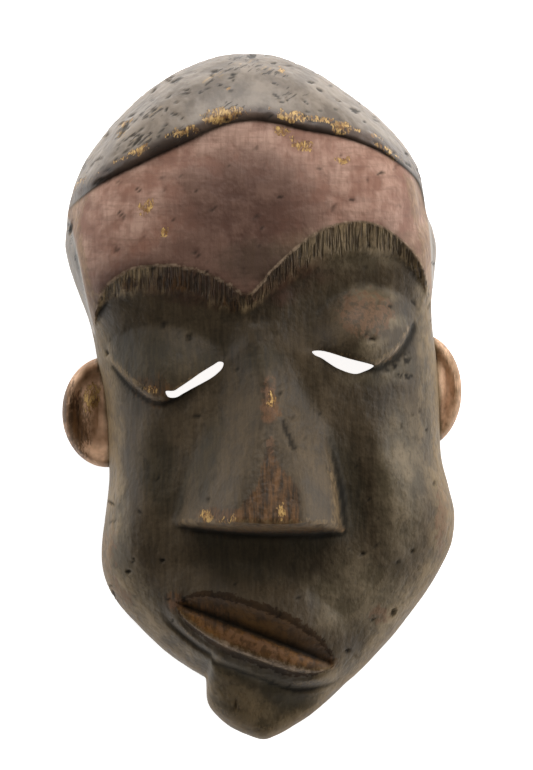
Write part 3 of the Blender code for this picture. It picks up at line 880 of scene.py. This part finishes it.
@dataclass(frozen=True)
class ToolMarks:
    """The fine relief of hand work: knife strokes on the brow, adze waves, and grain that stands out."""

    face: Face = field(default_factory=Face)
    wear: Wear = field(default_factory=Wear)
    stroke_spacing: float = 2.3
    stroke_depth: float = 0.4

    def on_hair(self, x: Array, y: Array) -> Array:
        """Gives 1 on the cap of hair over the forehead and 0 elsewhere."""
        return ramp(-0.5, 1.5, beside(self.face.hair.edge, x, y)) * ramp(80, 90, y)

    def on_brow(self, x: Array, y: Array, z: Array) -> Array:
        """Gives 1 on the band of the brow that has strokes, which ends unevenly below."""
        up, above = self.face.brow.bevel(x, y)
        ragged = 0.22 * clouds(x, y, 0 * x, (1.6, 30.0, 1.0), 1)
        band = ramp(-0.02, 0.42, up + ragged * (up > 0)) * (1 - ramp(-1.0, 0.1, above))
        return band * (np.abs(x) < 78) * (z > 40)

    def strokes(self, x: Array, y: Array) -> Array:
        """Gives the share of the depth of the upright strokes that stand for the hairs of the brow."""
        wander = 0.55 * clouds(x, y, 0 * x, (9.0, 26.0, 1.0), 2)
        wave = 0.5 - 0.5 * np.cos(2 * math.pi * (x / self.stroke_spacing + wander))
        return wave * np.clip(0.7 + 0.6 * clouds(x, y, 0 * x + 7.0, (5.0, 12.0, 1.0), 2), 0, 1)

    def height(self, x: Array, y: Array, z: Array) -> Array:
        """Gives how far the surface stands out at each place, in millimetres."""
        on_hair = self.on_hair(x, y)
        waves = 0.34 * clouds(x, y, z, (17.0, 24.0, 17.0), 2)
        grain = 0.05 * clouds(x, y, z, (1.6, 16.0, 4.0), 2)
        fine = clouds(x, y, z, (2.4, 3.0, 2.4), 3)
        broken = strongest(self.wear.rough, x, y)
        rough = fine * (0.05 + 0.13 * on_hair + 0.8 * broken) - 0.5 * broken
        strokes = self.stroke_depth * self.on_brow(x, y, z) * self.strokes(x, y)
        above = ramp(-3.0, 0.0, z - through(self.face.block.widest_line_height, y))
        return waves + grain + rough - strokes - self.wear.depth(x, y, on_hair) * above


@dataclass(frozen=True)
class Ear:
    """A flattened ear with a thin rim round a bowl that faces forward, and a low ridge beside the cheek."""

    centre: tuple[float, float]
    radii: tuple[float, float]
    outward: int
    front_share: float = 0.66
    bowl_height: float = 31.0

    def share(self, x: Array, y: Array) -> Array:
        """Gives the share of the way from the middle of the ear to its rim."""
        return np.hypot((x - self.centre[0]) / self.radii[0], (y - self.centre[1]) / self.radii[1])

    def points(self, u: Array, v: Array) -> tuple[Array, Array, Array]:
        """Places a square grid round the ear.

        Args:
            u: The grid's places across, from -1 to 1.
            v: The grid's places along, from -1 to 1.

        Returns:
            x, y and z in millimetres.
        """
        cos, sin, r = on_disc(u, v)
        ahead = r < self.front_share
        behind = np.clip((r - self.front_share) / (1 - self.front_share), 0, 1)
        out = np.where(ahead, np.sin(r / self.front_share * math.pi / 2), 1 - 0.75 * behind**1.5)
        x, y = cos * out * self.radii[0], sin * out * self.radii[1]
        bowl = self.bowl_height + 5.0 * ramp(0.62, 0.86, out) - 5.0 * np.clip((out - 0.88) / 0.12, 0, 1) ** 2
        bowl += 5.0 * mound(x * self.outward, y, (8.5, 1.0), (4.5, 14.0), power=1)
        z = np.where(ahead, bowl, self.bowl_height - 14.0 * behind**0.7) - 0.18 * x * self.outward
        uneven = 0.35 * clouds(x, y, z, (6.0, 8.0, 6.0), 3)
        return self.centre[0] + x, self.centre[1] + y, z + uneven * ahead


@dataclass
class Carving:
    """The mask as one carved piece of wood, with its hollow back and the openings under its lids."""

    face: Face = field(default_factory=Face)
    marks: ToolMarks = field(default_factory=ToolMarks)
    ears: tuple[Ear, ...] = (
        Ear(centre=(-70.0, -7.0), radii=(20.4, 25.0), outward=-1),
        Ear(centre=(71.0, 2.5), radii=(19.2, 26.0), outward=1),
    )
    wall: float = 11.0
    roof: float = 13.5
    cells: tuple[int, int] = (212, 362)
    hollow_cells: tuple[int, int] = (60, 100)
    ear_cells: tuple[int, int] = (48, 60)
    gather_width: float = 2.0
    gather_strength: float = 0.5
    easing: int = 2

    @property
    def outline(self) -> Outline:
        """Gives the outline of the head."""
        return self.face.block.outline

    def front_points(self, u: Array, v: Array) -> tuple[Array, Array, Array]:
        """Places a square grid over the outside of the mask, drawn together along the carved edges.

        Args:
            u: The grid's places across, from -1 to 1.
            v: The grid's places along, from -1 to 1.

        Returns:
            x, y and z in millimetres.
        """
        x, y, out, down = self.outline.plan(u, v)
        loose = 1 - ramp(0.85, 0.98, out)
        for edge in self.face.edges() + [traced(crack) for crack in self.marks.wear.cracks]:
            gap, foot = foot_on(edge, x, y)
            pull = self.gather_strength * loose * hump(gap, self.gather_width)
            x, y = x + (foot[:, 0] - x) * pull, y + (foot[:, 1] - y) * pull
        wall = through(self.face.block.widest_line_height, y) * (1 - down)
        z = np.where(down > 0, wall, self.face.height(x, y))
        angle = np.arctan2(y, x)
        fade = 1 - 0.75 * ramp(0.2, 1.0, down)
        knob = self.outline.chin_past(angle) * self.outline.knob_share(out) * fade
        inward = self.outline.drawn_in(down)
        return (x + knob * np.cos(angle)) * inward, (y + knob * np.sin(angle)) * inward, z

    def hollow_points(self, u: Array, v: Array) -> tuple[Array, Array, Array]:
        """Places a square grid over the hollow behind the face, a wall's thickness inside the block.

        Args:
            u: The grid's places across, from -1 to 1.
            v: The grid's places along, from -1 to 1.

        Returns:
            x, y and z in millimetres.
        """
        x, y, out, down = self.outline.plan(u, v)
        shrink = (1 - self.wall / self.outline.reach(np.arctan2(y, x))) * self.outline.drawn_in(down)
        x, y = x * shrink, y * shrink
        dome = through(self.face.block.dome_height, y) - self.roof
        side = through(self.face.block.widest_line_height, y) - 6.0
        z = side + (dome - side) * np.sqrt(np.clip(1 - out**2.4, 0, 1))
        z += 9.0 * mound(x, y, (0.0, -40.0), (24.0, 34.0))
        z += 0.6 * clouds(x, y, z, (13.0, 20.0, 13.0), 2)
        return x, y, np.where(down > 0, side * (1 - down) - 8.0 * down, z)

    @staticmethod
    def solid(
        cells: tuple[int, int], place: Callable[[Array, Array], tuple[Array, Array, Array]]
    ) -> bmesh.types.BMesh:
        """Makes a closed solid of a grid, with a flat bottom across its rim.

        Args:
            cells: The grid's cells across and along.
            place: Where each place of the grid goes.

        Returns:
            The solid, in millimetres.
        """
        bm = bmesh.new()
        bmesh.ops.create_grid(bm, x_segments=cells[0], y_segments=cells[1], size=1.0)
        grid = np.clip(np.array([v.co for v in bm.verts]), -1, 1)
        for vert, spot in zip(bm.verts, np.stack(place(grid[:, 0], grid[:, 1]), 1)):
            vert.co = spot
        bmesh.ops.contextual_create(bm, geom=[e for e in bm.edges if e.is_boundary])
        bmesh.ops.recalc_face_normals(bm, faces=bm.faces)
        return bm

    @staticmethod
    def piece(name: str, bm: bmesh.types.BMesh) -> bpy.types.Object:
        """Makes an object of a finished solid, in metres."""
        bmesh.ops.scale(bm, vec=Vector((METRES,) * 3), verts=bm.verts)
        mesh = bpy.data.meshes.new(name)
        bm.to_mesh(mesh)
        bm.free()
        obj = bpy.data.objects.new(name, mesh)
        bpy.context.scene.collection.objects.link(obj)
        return obj

    def relief(self, bm: bmesh.types.BMesh) -> None:
        """Eases the steps of the grid, then moves its points along their normals by the tool marks."""
        for _ in range(self.easing):
            bmesh.ops.smooth_vert(
                bm,
                verts=[v for v in bm.verts if v.co.z > 4],
                factor=0.5,
                use_axis_x=True,
                use_axis_y=True,
                use_axis_z=True,
            )
        bm.normal_update()
        place = np.array([v.co for v in bm.verts])
        lift = self.marks.height(place[:, 0], place[:, 1], place[:, 2]) * ramp(1.0, 5.0, place[:, 2])
        for vert, out in zip(bm.verts, lift):
            vert.co += vert.normal * float(out)

    @staticmethod
    def prism(corners: Array) -> bmesh.types.BMesh:
        """Makes the tool that cuts the opening under a lid."""
        bm = bmesh.new()
        ring = bmesh.ops.create_circle(bm, cap_ends=True, segments=len(corners), radius=1.0)["verts"]
        for vert, (x, y) in zip(ring, corners):
            vert.co = (x, y, 20.0)
        raised = bmesh.ops.extrude_face_region(bm, geom=list(bm.faces), use_keep_orig=True)["geom"]
        ends = [g for g in raised if isinstance(g, bmesh.types.BMVert)]
        bmesh.ops.translate(bm, vec=Vector((0, 0, 120.0)), verts=ends)
        bmesh.ops.recalc_face_normals(bm, faces=bm.faces)
        return bm

    @staticmethod
    def combine(target: bpy.types.Object, helper: bpy.types.Object, operation: str) -> None:
        """Adds or takes away a helper, and keeps the result in the target's mesh.

        Args:
            target: The piece that changes.
            helper: The piece that is used up.
            operation: UNION or DIFFERENCE.
        """
        step = target.modifiers.new(helper.name, "BOOLEAN")
        step.operation, step.object, step.solver = operation, helper, "MANIFOLD"
        mesh = bpy.data.meshes.new_from_object(target.evaluated_get(bpy.context.evaluated_depsgraph_get()))
        target.modifiers.remove(step)
        old, used = target.data, helper.data
        target.data = mesh
        bpy.data.objects.remove(helper)
        for left in (old, used):
            bpy.data.meshes.remove(left)

    def paint(self, mesh: bpy.types.Mesh) -> None:
        """Writes what is painted, worn or soiled at each point, and where light and shade are painted, into
        attributes of the mesh.

        Args:
            mesh: The finished mesh, in metres.
        """
        place = np.empty(len(mesh.vertices) * 3)
        mesh.vertices.foreach_get("co", place)
        x, y, z = place.reshape(-1, 3).T / METRES
        x, y = self.outline.without_knob(x, y)
        face, wear, mouth = self.face, self.marks.wear, self.face.mouth
        low = np.clip(1 - z / through(face.block.widest_line_height, y), 0, 1)
        x, y = x / self.outline.drawn_in(low), y / self.outline.drawn_in(low)
        share = self.outline.share(x, y)
        past = beside(face.hair.edge, x, y)
        _, above = face.brow.bevel(x, y)
        along, over, lip = mouth.place(x, y)
        deep, broad = (Hollows(face).at(x, y, radius) for radius in (2.0, 8.0))
        on_head = 1 - ramp(1.0, 1.02, share)
        rim = sum(
            worn * hump(ear.share(x, y) - 0.93, 0.1) for ear, worn in zip(self.ears, (0.15, 0.8))
        ) * (1 - on_head)
        inside = ramp(2.5, 5.0, face.height(x, y) - z) * (1 - ramp(0.93, 0.955, share))
        back = inside + (1 - ramp(0.3, 0.8, z))
        outside = 1 - np.clip(back, 0, 1)
        front = ramp(6, 34, z) * outside
        ragged = 3.0 * clouds(x, y, z, (5.0, 5.0, 5.0), 3)
        hair = np.maximum(ramp(-0.2, 0.6, past), ramp(0.02, 0.1, low)) * ramp(27, 29, y + ragged)
        forehead = ramp(-0.3, 0.5, above) * (1 - hair) * (y > 22)
        brow = self.marks.on_brow(x, y, z) * (1 - hair)
        strokes = self.marks.strokes(x, y) * brow
        eyes = (face.left_eye, face.right_eye)
        lids = [eye.bulge(x, y) for eye in eyes]
        # Painted shade under the overhanging edges of the lids.
        shade_under_lid = sum(
            hump(beside(eye.edge, x, y) + wide, wide + 0.2) * ramp(0.6, 3.0, swell)
            for eye, swell, wide in zip(eyes, lids, (0.7, 1.5))
        )
        # Pale lines along the rims of the lids: partly wear, partly painted highlight.
        lid_rim_wear_and_highlight = sum(
            worn * hump(beside(eye.edge, x, y) - 0.9, 0.6) * ramp(1.5, 4.0, swell)
            for eye, swell, worn in zip(eyes, lids, (0.3, 0.5))
        )
        lips = ramp(-1.08, -0.98, lip) * (1 - ramp(0.96, 1.04, lip)) * (np.abs(along) < mouth.half_length)
        parting = hump(lip - 0.08, 0.2) * (np.abs(along) < 34)
        crease = hump(over + mouth.crease_below(along), 0.9) * (over < 0) * mouth.crease_share(along)
        # Painted shade in the crease under the roll of the hair.
        shade_in_hair_fold = hump(past, 0.8) * ramp(78, 90, y)
        torn = (4.0, 4.0, 4.0)
        sway = [x + 2.4 * clouds(x, y, z, torn, 2), y + 2.4 * clouds(x + 50, y, z, torn, 2)]
        worn_crest = hump(past - 5.6, 1.3) * ramp(0.0, 0.45, clouds(x, y, z, (9.0, 5.0, 9.0), 2))
        worn_crest *= ramp(62, 40, x) * (y > 92)
        cuts = np.clip(wear.depth(x, y, hair * ramp(80, 90, y)) / 0.4, 0, 1) * (low < 0.02)
        # Pale patches: partly wear, partly painted light.
        pale = strongest(wear.pale, *sway)
        holes = ramp(-0.12, 0.15, clouds(x, y, z, (1.8, 2.2, 1.8), 2))
        pocked = ramp(0.1, 0.5, strongest(wear.rough, x, y)) * holes
        pocked *= 0.35 + 0.65 * ramp(20, 40, x)
        lip_crest = hump(lip + 0.93, 0.13) * (np.abs(along) < 35)
        # The crest of the brow, made pale: partly wear, partly painted highlight.
        crest = hump(above + 0.2, 0.6) * (np.abs(x) < 78)
        # Painted shade over the foot of the forehead, weaker to the right.
        shade_over_brow = np.exp(-np.clip(above, 0, None) / 8) * (1 - 0.8 * ramp(2, 26, x))
        # Band round the lips: painted outline above, painted outline and painted shade under the lower lip's
        # crest.
        lip_outline_and_shade = np.where(
            lip > 0,
            ramp(0.84, 0.96, lip) * (1 - ramp(1.12, 1.3, lip)),
            ramp(1.0, 1.06, -lip) * (1 - ramp(1.16, 1.34, -lip)),
        )
        patches = ramp(-0.3, 0.35, clouds(x, y, z, (15.0, 11.0, 13.0), 3))
        # Darkening of the broad hollows and of the listed patches, less where pale patches lie: partly patina,
        # partly painted shade.
        dirt_and_shade_in_hollows = np.maximum(ramp(0.3, 4.5, broad) * (1 - 0.7 * pale), strongest(wear.painted_shade, *sway))
        rubbed = ramp(0.4, 1.6, -deep) * on_head * (1 - 0.6 * hair) + 0.8 * lip_crest + rim
        # Near-black in small hollows, creases, cuts and pits and under the lids and the hair's roll: partly
        # soiling, partly painted shade.
        dirt_and_shade = (
            ramp(0.6, 2.0, deep) * (1 - ramp(0.93, 0.97, share))
            + shade_under_lid
            + 0.8 * parting
            + 0.8 * crease
            + shade_in_hair_fold
            + cuts
            + pocked
        )
        values = {
            Zone.HAIR: hair,
            Zone.PITTED: hair * (1 - 0.6 * ramp(5, 40, x)) * patches,
            Zone.SKIN: (1 - hair) * (1 - forehead) * on_head,
            Zone.PALE: pale * front,
            # Painted shade on the wall under the roll of the hair.
            Zone.HAIR_WALL: ramp(-0.3, 0.6, past) * (1 - ramp(4.0, 7.5, past)) * ramp(80, 92, y),
            Zone.FOREHEAD: forehead,
            Zone.BROW: brow,
            Zone.STROKE: strokes,
            Zone.RIM: (crest + lid_rim_wear_and_highlight + 0.7 * lip_crest * ramp(-24, -6, along)) * front,
            Zone.LIPS: lips * front,
            Zone.LOWER_LIP: lips
            * ramp(0.0, 0.15, -lip)
            * (1 - ramp(0.4, 1.0, -lip))
            * ramp(0.0, 8.0, 34 - np.abs(along)),
            Zone.LIP_LINE: lip_outline_and_shade * (np.abs(along) < 38),
            Zone.EAR: (1 - on_head) * (np.abs(y) < 40) * ramp(22, 29, z) * (z < 46),
            Zone.BACK: back,
            Zone.UMBER: np.maximum(face.nose.on_pad(x, y), strongest(wear.umber, *sway)) * front,
            Zone.HOLLOW: dirt_and_shade_in_hollows * front * on_head,
            # Pale band on the sides of the head: partly wear, partly painted sheen.
            Zone.EDGE: ramp(1.0, 9.0, -broad)
            * ramp(0.80, 0.99, share)
            * ramp(12, 40, z)
            * (1 - hair)
            * (1 - 0.6 * forehead),
            Zone.SMOKE: np.maximum(strongest(wear.smoke, *sway), shade_over_brow * forehead) * front,
            Zone.RED: strongest(wear.red, *sway) * front,
            Zone.BARE: np.maximum(strongest(wear.bare, *sway), 0.85 * worn_crest) * outside,
            Zone.RUBBED: rubbed * front,
            Zone.GRIME: dirt_and_shade * front,
        }
        for zone, value in values.items():
            layer = mesh.attributes.new(zone.value, "FLOAT", "POINT")
            layer.data.foreach_set("value", np.clip(value, 0, 1).astype(np.float32))

    def build(self, finish: PatinatedWood) -> bpy.types.Object:
        """Carves the mask.

        Args:
            finish: What its surface is.

        Returns:
            The finished piece.
        """
        outside = self.solid(self.cells, self.front_points)
        self.relief(outside)
        mask = self.piece("carved_mask", outside)
        for ear in self.ears:
            self.combine(mask, self.piece("ear", self.solid(self.ear_cells, ear.points)), "UNION")
        hollow = self.solid(self.hollow_cells, self.hollow_points)
        self.combine(mask, self.piece("hollow", hollow), "DIFFERENCE")
        for eye in (self.face.left_eye, self.face.right_eye):
            slit = self.prism(traced(eye.slit, closed=True, steps=4))
            self.combine(mask, self.piece("slit", slit), "DIFFERENCE")
        self.paint(mask.data)
        mask.data.shade_smooth()
        mask.data.set_sharp_from_angle(angle=math.radians(48))
        mask.data.materials.clear()
        mask.data.materials.append(finish.material())
        return mask


def add_node(
    tree: bpy.types.NodeTree, kind: str, settings: dict[str, object] | None = None, **inputs: object
) -> bpy.types.Node:
    """Adds a node to a tree.

    Args:
        tree: The tree.
        kind: The node's type.
        settings: Values of the node's own properties.
        inputs: For each input, named with underscores for spaces or as i0, i1 and so on, a value or a socket.

    Returns:
        The node.
    """
    node = tree.nodes.new(kind)
    for name, value in (settings or {}).items():
        setattr(node, name, value)
    for name, value in inputs.items():
        place = int(name[1:]) if name[0] == "i" and name[1:].isdigit() else name.replace("_", " ")
        socket = node.inputs[place]
        if isinstance(value, bpy.types.NodeSocket):
            tree.links.new(value, socket)
        else:
            socket.default_value = value
    return node


class Pattern(Enum):
    """The wood's patterns: the half size of their features in millimetres, their detail and their turn."""

    BLOTCH = ((24.0, 30.0, 24.0), 5.0, 0)
    MOTTLE = ((6.0, 8.0, 6.0), 3.5, 0)
    BRUSH = ((12.0, 1.6, 6.0), 4.0, 0)
    GRAIN = ((0.8, 8.0, 3.0), 5.0, 0)
    STREAK = ((0.4, 1.4, 0.8), 2.0, 0)
    SPECKLE = ((1.3, 1.7, 1.3), 3.0, 0)
    GROOVE = ((5.0, 0.6, 3.0), 2.0, 38)
    HAIRS = ((0.55, 7.0, 6.0), 1.0, 0)


@dataclass(frozen=True)
class Layer:
    """One coat of colour or wear, laid over what is under it where its zone is.

    The coat goes from its dark to its light colour by one pattern. Another pattern tears it, the more so the
    larger torn is, and the coat stays where its zone and the tearing together reach past least. It stands out
    by raised, in millimetres, and is duller than what is under it by dull.
    """

    zone: Zone
    dark: str
    light: str
    pattern: Pattern = Pattern.MOTTLE
    cover: float = 1.0
    torn: float = 0.0
    torn_by: Pattern = Pattern.STREAK
    least: float = 0.5
    soft: float = 0.15
    raised: float = 0.0
    dull: float = 0.0


@dataclass(frozen=True)
class PatinatedWood:
    """Soft brown wood, painted, oiled and handled until it has a dark patina that is worn off its edges, with
    light and shade painted into some coats.
    """

    skin_dark: str = "#2a2216"
    skin_light: str = "#5b4c38"
    layers: tuple[Layer, ...] = (
        Layer(Zone.EAR, "#8b6749", "#ddb391"),
        Layer(Zone.FOREHEAD, "#7c5848", "#a48473", dull=0.06),
        Layer(
            Zone.FOREHEAD, "#65473a", "#65473a", torn=0.8, torn_by=Pattern.GRAIN, least=1.15, soft=0.4,
            cover=0.3,
        ),
        Layer(
            Zone.FOREHEAD, "#63473a", "#63473a", torn=0.9, torn_by=Pattern.BRUSH, least=1.2, soft=0.3,
            cover=0.35,
        ),
        Layer(Zone.HAIR, "#5c5146", "#7d7164"),
        Layer(
            Zone.PITTED, "#221911", "#33291f", torn=1.0, torn_by=Pattern.GROOVE, least=1.27, soft=0.1,
            cover=0.72, raised=-0.35, dull=0.2,
        ),
        Layer(
            Zone.PITTED, "#6f5738", "#a58a60", torn=-1.0, torn_by=Pattern.GROOVE, least=1.42, soft=0.05,
            cover=0.5,
        ),
        # Painted shade on the wall under the roll of the hair.
        Layer(Zone.HAIR_WALL, "#33261e", "#4a392e", cover=0.92),
        Layer(Zone.BROW, "#5e4a34", "#ad946f", Pattern.GRAIN),
        # Painted shade over the middle and foot of the forehead.
        Layer(
            Zone.SMOKE, "#331f17", "#4a3024", cover=0.78, torn=0.35, torn_by=Pattern.MOTTLE, least=0.45,
            soft=0.45,
        ),
        Layer(Zone.LIPS, "#3a2711", "#624420"),
        Layer(
            Zone.LOWER_LIP, "#4d3317", "#885b29", Pattern.SPECKLE, cover=0.8, torn=0.6,
            torn_by=Pattern.MOTTLE, least=0.5, soft=0.4,
        ),
        # Pale patches: partly wear, partly painted light.
        Layer(Zone.PALE, "#605540", "#8d7d64", cover=0.56),
        Layer(
            Zone.UMBER, "#2c1e0e", "#654526", Pattern.GRAIN, cover=0.85, torn=0.6, torn_by=Pattern.STREAK,
            least=0.4, soft=0.4,
        ),
        # Dark olive in hollows and beside and under the nose: partly patina, partly painted shade.
        Layer(
            Zone.HOLLOW, "#1a190f", "#2b2717", Pattern.GRAIN, 0.5, 0.2, Pattern.SPECKLE, soft=0.5, dull=0.1,
        ),
        # Pale band on the sides: partly wear, partly painted sheen.
        Layer(Zone.EDGE, "#5b4b31", "#957f5e", cover=0.48, torn=0.35, torn_by=Pattern.MOTTLE, soft=0.5),
        Layer(Zone.RED, "#45301f", "#7d5b43", Pattern.SPECKLE, 0.55, 0.9, Pattern.SPECKLE, soft=0.4),
        Layer(
            Zone.SKIN, "#1b170e", "#1b170e", torn=1.0, torn_by=Pattern.SPECKLE, least=1.34, soft=0.2,
            cover=0.3,
        ),
        Layer(Zone.RUBBED, "#54422b", "#8a7352", Pattern.SPECKLE, 0.45, 0.9, soft=0.35),
        # Dark outline of the lips, with painted shade under the lower lip's crest.
        Layer(
            Zone.LIP_LINE, "#21150a", "#3a2714", cover=0.8, torn=0.9, torn_by=Pattern.SPECKLE, soft=0.2,
            dull=0.35,
        ),
        # These two coats are bare wood where the patina is worn through, and painted glints on the nose's tip
        # and ridge.
        Layer(
            Zone.BARE, "#3c2812", "#6f4c23", cover=0.6, torn=1.2, torn_by=Pattern.SPECKLE, soft=0.35,
            dull=0.15,
        ),
        Layer(Zone.BARE, "#6b4720", "#c4a062", Pattern.SPECKLE, 0.9, 1.6, soft=0.2, raised=-0.12),
        Layer(Zone.STROKE, "#171107", "#241b0f", cover=0.35),
        Layer(
            Zone.BROW, "#1b140a", "#33271a", torn=1.0, torn_by=Pattern.HAIRS, least=1.08, soft=0.3,
            cover=0.62, raised=-0.5,
        ),
        # Pale crests and rims: partly wear, partly painted highlight.
        Layer(Zone.RIM, "#6f5b47", "#a68e75", Pattern.SPECKLE, 0.6, 0.5, Pattern.SPECKLE, soft=0.35),
        # Near-black in creases, cuts and pits and under the lids and the hair: partly soiling, partly painted
        # shade.
        Layer(Zone.GRIME, "#0e0b06", "#1b160d", cover=0.85, dull=0.35),
        Layer(Zone.BACK, "#4a3725", "#86694a", Pattern.GRAIN),
    )
    mixture: tuple[tuple[Pattern, float], ...] = (
        (Pattern.BLOTCH, 0.35), (Pattern.MOTTLE, 0.2), (Pattern.GRAIN, 0.25), (Pattern.SPECKLE, 0.2),
    )
    texture: tuple[tuple[Pattern, float], ...] = (
        (Pattern.GRAIN, 0.02), (Pattern.STREAK, 0.02), (Pattern.SPECKLE, 0.04), (Pattern.MOTTLE, 0.45),
    )
    roughness: tuple[float, float] = (0.44, 0.62)
    specular: float = 0.22
    coat: float = 0.03
    hair_coat: float = 0.5
    coat_roughness: float = 0.34

    def material(self) -> bpy.types.Material:
        """Builds the material."""
        made = bpy.data.materials.new("patinated_carved_wood")
        made.use_nodes = True
        tree = made.node_tree
        surface = tree.nodes["Principled BSDF"]
        spot = add_node(tree, "ShaderNodeTexCoord").outputs["Object"]

        def cloud(pattern: Pattern) -> bpy.types.NodeSocket:
            """Gives the contrasty noise of a pattern, from 0 to 1."""
            size, detail, turn = pattern.value
            settings = {"vector_type": "TEXTURE"}
            scale, turned_by = tuple(2 * s * METRES for s in size), (0.0, 0.0, math.radians(turn))
            mapped = add_node(
                tree, "ShaderNodeMapping", settings, Vector=spot, Rotation=turned_by, Scale=scale
            ).outputs[0]
            raw = add_node(
                tree, "ShaderNodeTexNoise", Vector=mapped, Scale=1.0, Detail=detail, Roughness=0.62
            ).outputs[0]
            return span(raw, 0.33, 0.67)

        def span(
            value: object, low: float, high: float, to_low: float = 0.0, to_high: float = 1.0
        ) -> bpy.types.NodeSocket:
            """Maps a value smoothly from one range to another."""
            settings = {"interpolation_type": "SMOOTHSTEP"}
            values = {"i0": value, "i1": low, "i2": high, "i3": to_low, "i4": to_high}
            return add_node(tree, "ShaderNodeMapRange", settings, **values).outputs[0]

        def sums(operation: str, first: object, second: object) -> bpy.types.NodeSocket:
            """Joins two values by an arithmetic operation."""
            return add_node(tree, "ShaderNodeMath", {"operation": operation}, i0=first, i1=second).outputs[0]

        def blend(share: object, first: object, second: object) -> bpy.types.NodeSocket:
            """Goes from one colour to another."""
            one, other = (linear(c) if isinstance(c, str) else c for c in (first, second))
            settings = {"data_type": "RGBA"}
            return add_node(tree, "ShaderNodeMix", settings, i0=share, i6=one, i7=other).outputs[2]

        noises = {pattern: cloud(pattern) for pattern in Pattern}
        uneven = relief = 0.0
        for pattern, share in self.mixture:
            uneven = sums("ADD", uneven, sums("MULTIPLY", noises[pattern], share))
        for pattern, depth in self.texture:
            relief = sums("ADD", relief, sums("MULTIPLY", noises[pattern], depth))
        colour = blend(uneven, self.skin_dark, self.skin_light)
        roughness = span(uneven, 0.0, 1.0, *self.roughness)
        for layer in self.layers:
            zone = add_node(tree, "ShaderNodeAttribute", {"attribute_name": layer.zone.value}).outputs["Fac"]
            if layer.torn:
                tear = sums("MULTIPLY", sums("SUBTRACT", noises[layer.torn_by], 0.5), layer.torn)
                tear = sums("MULTIPLY", tear, span(zone, 0.0, 0.35))
                zone = span(sums("ADD", zone, tear), layer.least - layer.soft, layer.least + layer.soft)
            much = sums("MULTIPLY", zone, layer.cover)
            colour = blend(much, colour, blend(noises[layer.pattern], layer.dark, layer.light))
            if layer.raised:
                relief = sums("ADD", relief, sums("MULTIPLY", zone, layer.raised))
            if layer.dull:
                roughness = sums("ADD", roughness, sums("MULTIPLY", zone, layer.dull))
        tree.links.new(colour, surface.inputs["Base Color"])
        tree.links.new(roughness, surface.inputs["Roughness"])
        bump = add_node(tree, "ShaderNodeBump", Distance=METRES, Height=relief)
        tree.links.new(bump.outputs[0], surface.inputs["Normal"])
        hair = add_node(tree, "ShaderNodeAttribute", {"attribute_name": Zone.HAIR.value}).outputs["Fac"]
        tree.links.new(span(hair, 0.0, 1.0, self.coat, self.hair_coat), surface.inputs["Coat Weight"])
        surface.inputs["Specular IOR Level"].default_value = self.specular
        surface.inputs["Coat Roughness"].default_value = self.coat_roughness
        return made


@dataclass(frozen=True)
class Softbox:
    """One square studio light that faces the mask."""

    name: str
    place: tuple[float, float, float]
    size: float
    power: float

    def build(self, aim: Vector) -> None:
        """Makes the light.

        Args:
            aim: What it faces.
        """
        lamp = bpy.data.lights.new(self.name, "AREA")
        lamp.energy, lamp.size = self.power, self.size
        obj = bpy.data.objects.new(self.name, lamp)
        bpy.context.scene.collection.objects.link(obj)
        obj.location = self.place
        obj.rotation_euler = (aim - Vector(self.place)).to_track_quat("-Z", "Y").to_euler()


@dataclass(frozen=True)
class Studio:
    """A pale glowing table, soft lights and a long lens that looks straight down on the mask."""

    aim: tuple[float, float, float] = (0.0020, 0.0052, 0.050)
    lit: tuple[float, float, float] = (0.0, 0.0, 0.06)
    view_height: float = 0.3465
    distance: float = 5.0
    sensor: float = 24.0
    table_glow: float = 0.9
    room_light: float = 0.14
    table_size: float = 6.0
    table_top: float = -0.0004
    lights: tuple[Softbox, ...] = (
        Softbox("light_from_crown", (0.0, 1.30, 0.75), 1.2, 22.0),
        Softbox("light_from_left", (-1.4, 0.3, 0.40), 1.2, 9.5),
        Softbox("light_from_right", (1.4, 0.3, 0.55), 1.2, 19.0),
    )

    def build(self) -> None:
        """Makes the table, the lights, the camera and the pale surroundings."""
        scene = bpy.context.scene
        bm = bmesh.new()
        bmesh.ops.create_grid(bm, x_segments=1, y_segments=1, size=self.table_size / 2)
        mesh = bpy.data.meshes.new("table")
        bm.to_mesh(mesh)
        bm.free()
        table = bpy.data.objects.new("table", mesh)
        scene.collection.objects.link(table)
        table.location.z = self.table_top
        mesh.materials.append(self.paper())
        for light in self.lights:
            light.build(Vector(self.lit))
        lens = bpy.data.cameras.new("camera")
        lens.sensor_fit, lens.sensor_height = "VERTICAL", self.sensor
        lens.lens = self.sensor * self.distance / self.view_height
        lens.clip_end = 20.0
        camera = bpy.data.objects.new("camera", lens)
        scene.collection.objects.link(camera)
        camera.location = Vector(self.aim) + Vector((0, 0, self.distance))
        scene.camera = camera
        world = bpy.data.worlds.new("pale_room")
        scene.world = world
        world.use_nodes = True
        air = world.node_tree.nodes["Background"]
        air.inputs["Color"].default_value = linear("#f4f1ec")
        air.inputs["Strength"].default_value = self.room_light
        scene.view_settings.view_transform = "Standard"

    def paper(self) -> bpy.types.Material:
        """Makes the matte white sheet of the table, lit from below."""
        made = bpy.data.materials.new("matte_white_paper")
        made.use_nodes = True
        surface = made.node_tree.nodes["Principled BSDF"]
        surface.inputs["Base Color"].default_value = linear("#f2f1ef")
        surface.inputs["Roughness"].default_value = 0.9
        surface.inputs["Emission Color"].default_value = linear("#ffffff")
        surface.inputs["Emission Strength"].default_value = self.table_glow
        return made


def main() -> None:
    """Builds the mask and its studio, and logs how many faces the mask has."""
    logging.basicConfig(level=logging.INFO, format="%(message)s")
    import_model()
    mask = Carving().build(PatinatedWood())
    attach(mask, "root")
    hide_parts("mask")
    LOG.info("%s: %d faces", mask.name, len(mask.data.polygons))
    Studio().build()


if __name__ == "__main__":
    main()
